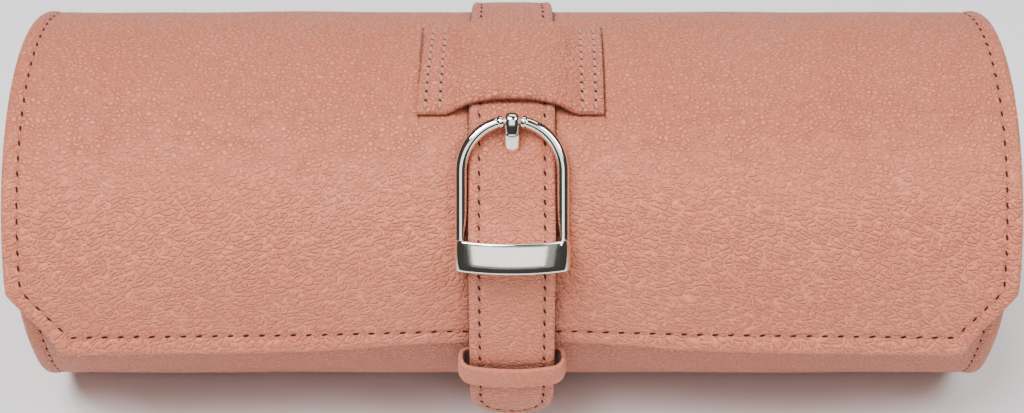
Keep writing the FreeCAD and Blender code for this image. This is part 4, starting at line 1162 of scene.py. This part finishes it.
# The strap's slot under the prong: a dark disc of painted shade for its depth
SLOT_DOWN, SLOT_LENGTH, SLOT_WIDTH = 4.7, 4.2, 3.6
_, slot_y, slot_z = to_world([(0, APEX_Y - SLOT_DOWN, 0)])[0]
slot_s = strap_distance(np.array([-slot_y, slot_z - AXIS]))
slot_frame = frames_on(strap.face, [(0, slot_s - 3), (0, slot_s + 3)], np.array([3.0]))
slot = scatter("strap_slot", hole_template(SLOT_LENGTH, SLOT_WIDTH, 28, dish=0.05), slot_frame)
finish_piece(slot, "flap", HOLE)

# Cushions: each one blown up from its CAD form as cloth, then given piped seams
START_SHARE, VOXEL, LAST_FRAME = 0.94, 0.0045, 20
CLOTH = dict(
    use_pressure=True, uniform_pressure_force=4.0, mass=0.3, tension_stiffness=18.0, compression_stiffness=18.0,
    bending_stiffness=0.4)
SWELL_CAP = 0.006
ROOM_SHARES = (0.985, 0.995, 0.995)
PIPE_R, PIPE_IN, PIPE_SINK = 0.75, 5.2, 0.25


def points_of(mesh):
    co = np.zeros(len(mesh.vertices) * 3)
    mesh.vertices.foreach_get("co", co)
    return co.reshape(-1, 3)


def blown_pillow(name, cover):
    """The cover's form, slightly smaller and evenly meshed, puffed by a cloth run whose movement is capped."""
    lo, hi = (np.array(c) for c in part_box(cover))
    centre = (lo + hi) / 2
    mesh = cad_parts[cover].data.copy()
    obj = placed(name, mesh)
    mesh.materials.clear()
    mesh.vertices.foreach_set("co", (centre + (points_of(mesh) - centre) * START_SHARE).ravel())
    bpy.context.view_layer.objects.active = obj
    remesh = obj.modifiers.new("even", "REMESH")
    remesh.mode = "VOXEL"
    remesh.voxel_size = VOXEL
    bpy.ops.object.modifier_apply(modifier="even")
    start = points_of(obj.data)
    cloth = obj.modifiers.new("blow", "CLOTH")
    for key, val in CLOTH.items():
        setattr(cloth.settings, key, val)
    cloth.settings.effector_weights.gravity = 0.0
    cloth.point_cache.frame_start, cloth.point_cache.frame_end = 1, LAST_FRAME
    for number in range(1, LAST_FRAME + 1):
        bpy.context.scene.frame_set(number)
    blown = obj.evaluated_get(bpy.context.evaluated_depsgraph_get())
    moved = points_of(blown.data) - start
    obj.modifiers.remove(cloth)
    bpy.context.scene.frame_set(1)
    far = np.linalg.norm(moved, axis=1, keepdims=True)
    moved *= np.minimum(1.0, SWELL_CAP / np.maximum(far, 1e-9))
    room = (hi - lo) / 2 * ROOM_SHARES
    co = centre + np.clip(start + moved - centre, -room, room)
    obj.data.vertices.foreach_set("co", co.ravel())
    obj.data.update()
    finer = obj.modifiers.new("finer", "SUBSURF")
    finer.levels = finer.render_levels = 1
    bpy.ops.object.modifier_apply(modifier="finer")
    obj.data.polygons.foreach_set("use_smooth", np.ones(len(obj.data.polygons), bool))
    return obj, centre, (hi - lo) / 2


def piping(name, pillow, centre, half):
    """A corded seam round each end of a pillow, laid on its skin."""
    tree = BVHTree.FromPolygons(
        [v.co[:] for v in pillow.data.vertices], [p.vertices[:] for p in pillow.data.polygons])
    rings = []
    for side in (-1, 1):
        x = centre[0] + side * (half[0] - PIPE_IN * MM)
        line = []
        for c, v in heading(np.linspace(0, 2 * math.pi, 97)):
            way = Vector((0, c, v))
            hit = tree.ray_cast(Vector((x, centre[1], centre[2])) + way * 0.2, -way)[0]
            line.append(np.array(hit) / MM - np.array(way) * PIPE_SINK)
        line = np.array(line)
        for _ in range(2):
            line[1:-1] = (line[:-2] + 2 * line[1:-1] + line[2:]) / 4
        line[-1] = line[0]
        rings.append(tube(line, np.full(len(line), PIPE_R), sides=10, up=(1, 0, 0)))
    verts, faces = joined(rings)
    return new_mesh(name, verts, faces, sharp=1.4)


for number in (1, 2, 3, 4):
    body = f"cushion_{number}"
    pillow, middle, half = blown_pillow(f"{body}_pillow", f"{body}_cover")
    finish_piece(pillow, body, CUSHION_MAT, (f"{body}_cover", f"{body}_core"))
    cord = piping(f"{body}_piping", pillow, middle, half)
    finish_piece(cord, body, CUSHION_MAT)

# Stage, light and camera, in metres and watts
FLOOR_HALF, FLOOR_DOWN, FLOOR_GREY = 3, 0.0002, 0.88
LIGHT_TARGET = Vector((0, 0, 0.045))
LIGHTS = (
    ("key", (-0.36, -0.36, 1.10), (0.70, 0.42), 20.0),
    ("fill", (0.58, -0.34, 0.95), (0.6, 0.45), 7.5),
    ("top", (0.1, 0.45, 1.1), (0.9, 0.4), 4.0),
    ("front_card", (0.0, -0.80, 0.70), (0.84, 0.50), 0.45),
    ("front_strip", (-0.025, -0.785, 0.69), (0.70, 0.36), 1.45),
)
WORLD_STRENGTH = 0.06
CAMERA_PLACE, CAMERA_TARGET = Vector((0, -0.3447, 0.3329)), Vector((0, 0, 0.0436))

floor_mesh = bpy.data.meshes.new("floor")
corners = [(FLOOR_HALF * x, FLOOR_HALF * y, 0) for x, y in ((-1, -1), (1, -1), (1, 1), (-1, 1))]
floor_mesh.from_pydata(corners, [], [(0, 1, 2, 3)])
floor = placed("floor", floor_mesh)
floor.location.z = -FLOOR_DOWN
floor_mesh.materials.append(Shader("pale_floor").done(Base_Color=(FLOOR_GREY,) * 3 + (1,), Roughness=0.8))


def aim(obj, place, target):
    obj.location = place
    obj.rotation_euler = (target - Vector(place)).to_track_quat("-Z", "Y").to_euler()


for name, place, size, power in LIGHTS:
    light = bpy.data.lights.new(name, "AREA")
    light.shape = "RECTANGLE"
    light.size, light.size_y = size
    light.energy = power
    aim(placed(name, light), place, LIGHT_TARGET)
world = bpy.data.worlds.new("studio")
bpy.context.scene.world = world
world.use_nodes = True
world.node_tree.nodes["Background"].inputs["Color"].default_value = (1, 1, 1, 1)
world.node_tree.nodes["Background"].inputs["Strength"].default_value = WORLD_STRENGTH

lens = bpy.data.cameras.new("camera")
lens.lens = 63.0
lens.sensor_width = 36.0
lens.shift_y = -0.014
lens.clip_start = 0.01
camera = placed("camera", lens)
aim(camera, CAMERA_PLACE, CAMERA_TARGET)
bpy.context.scene.camera = camera
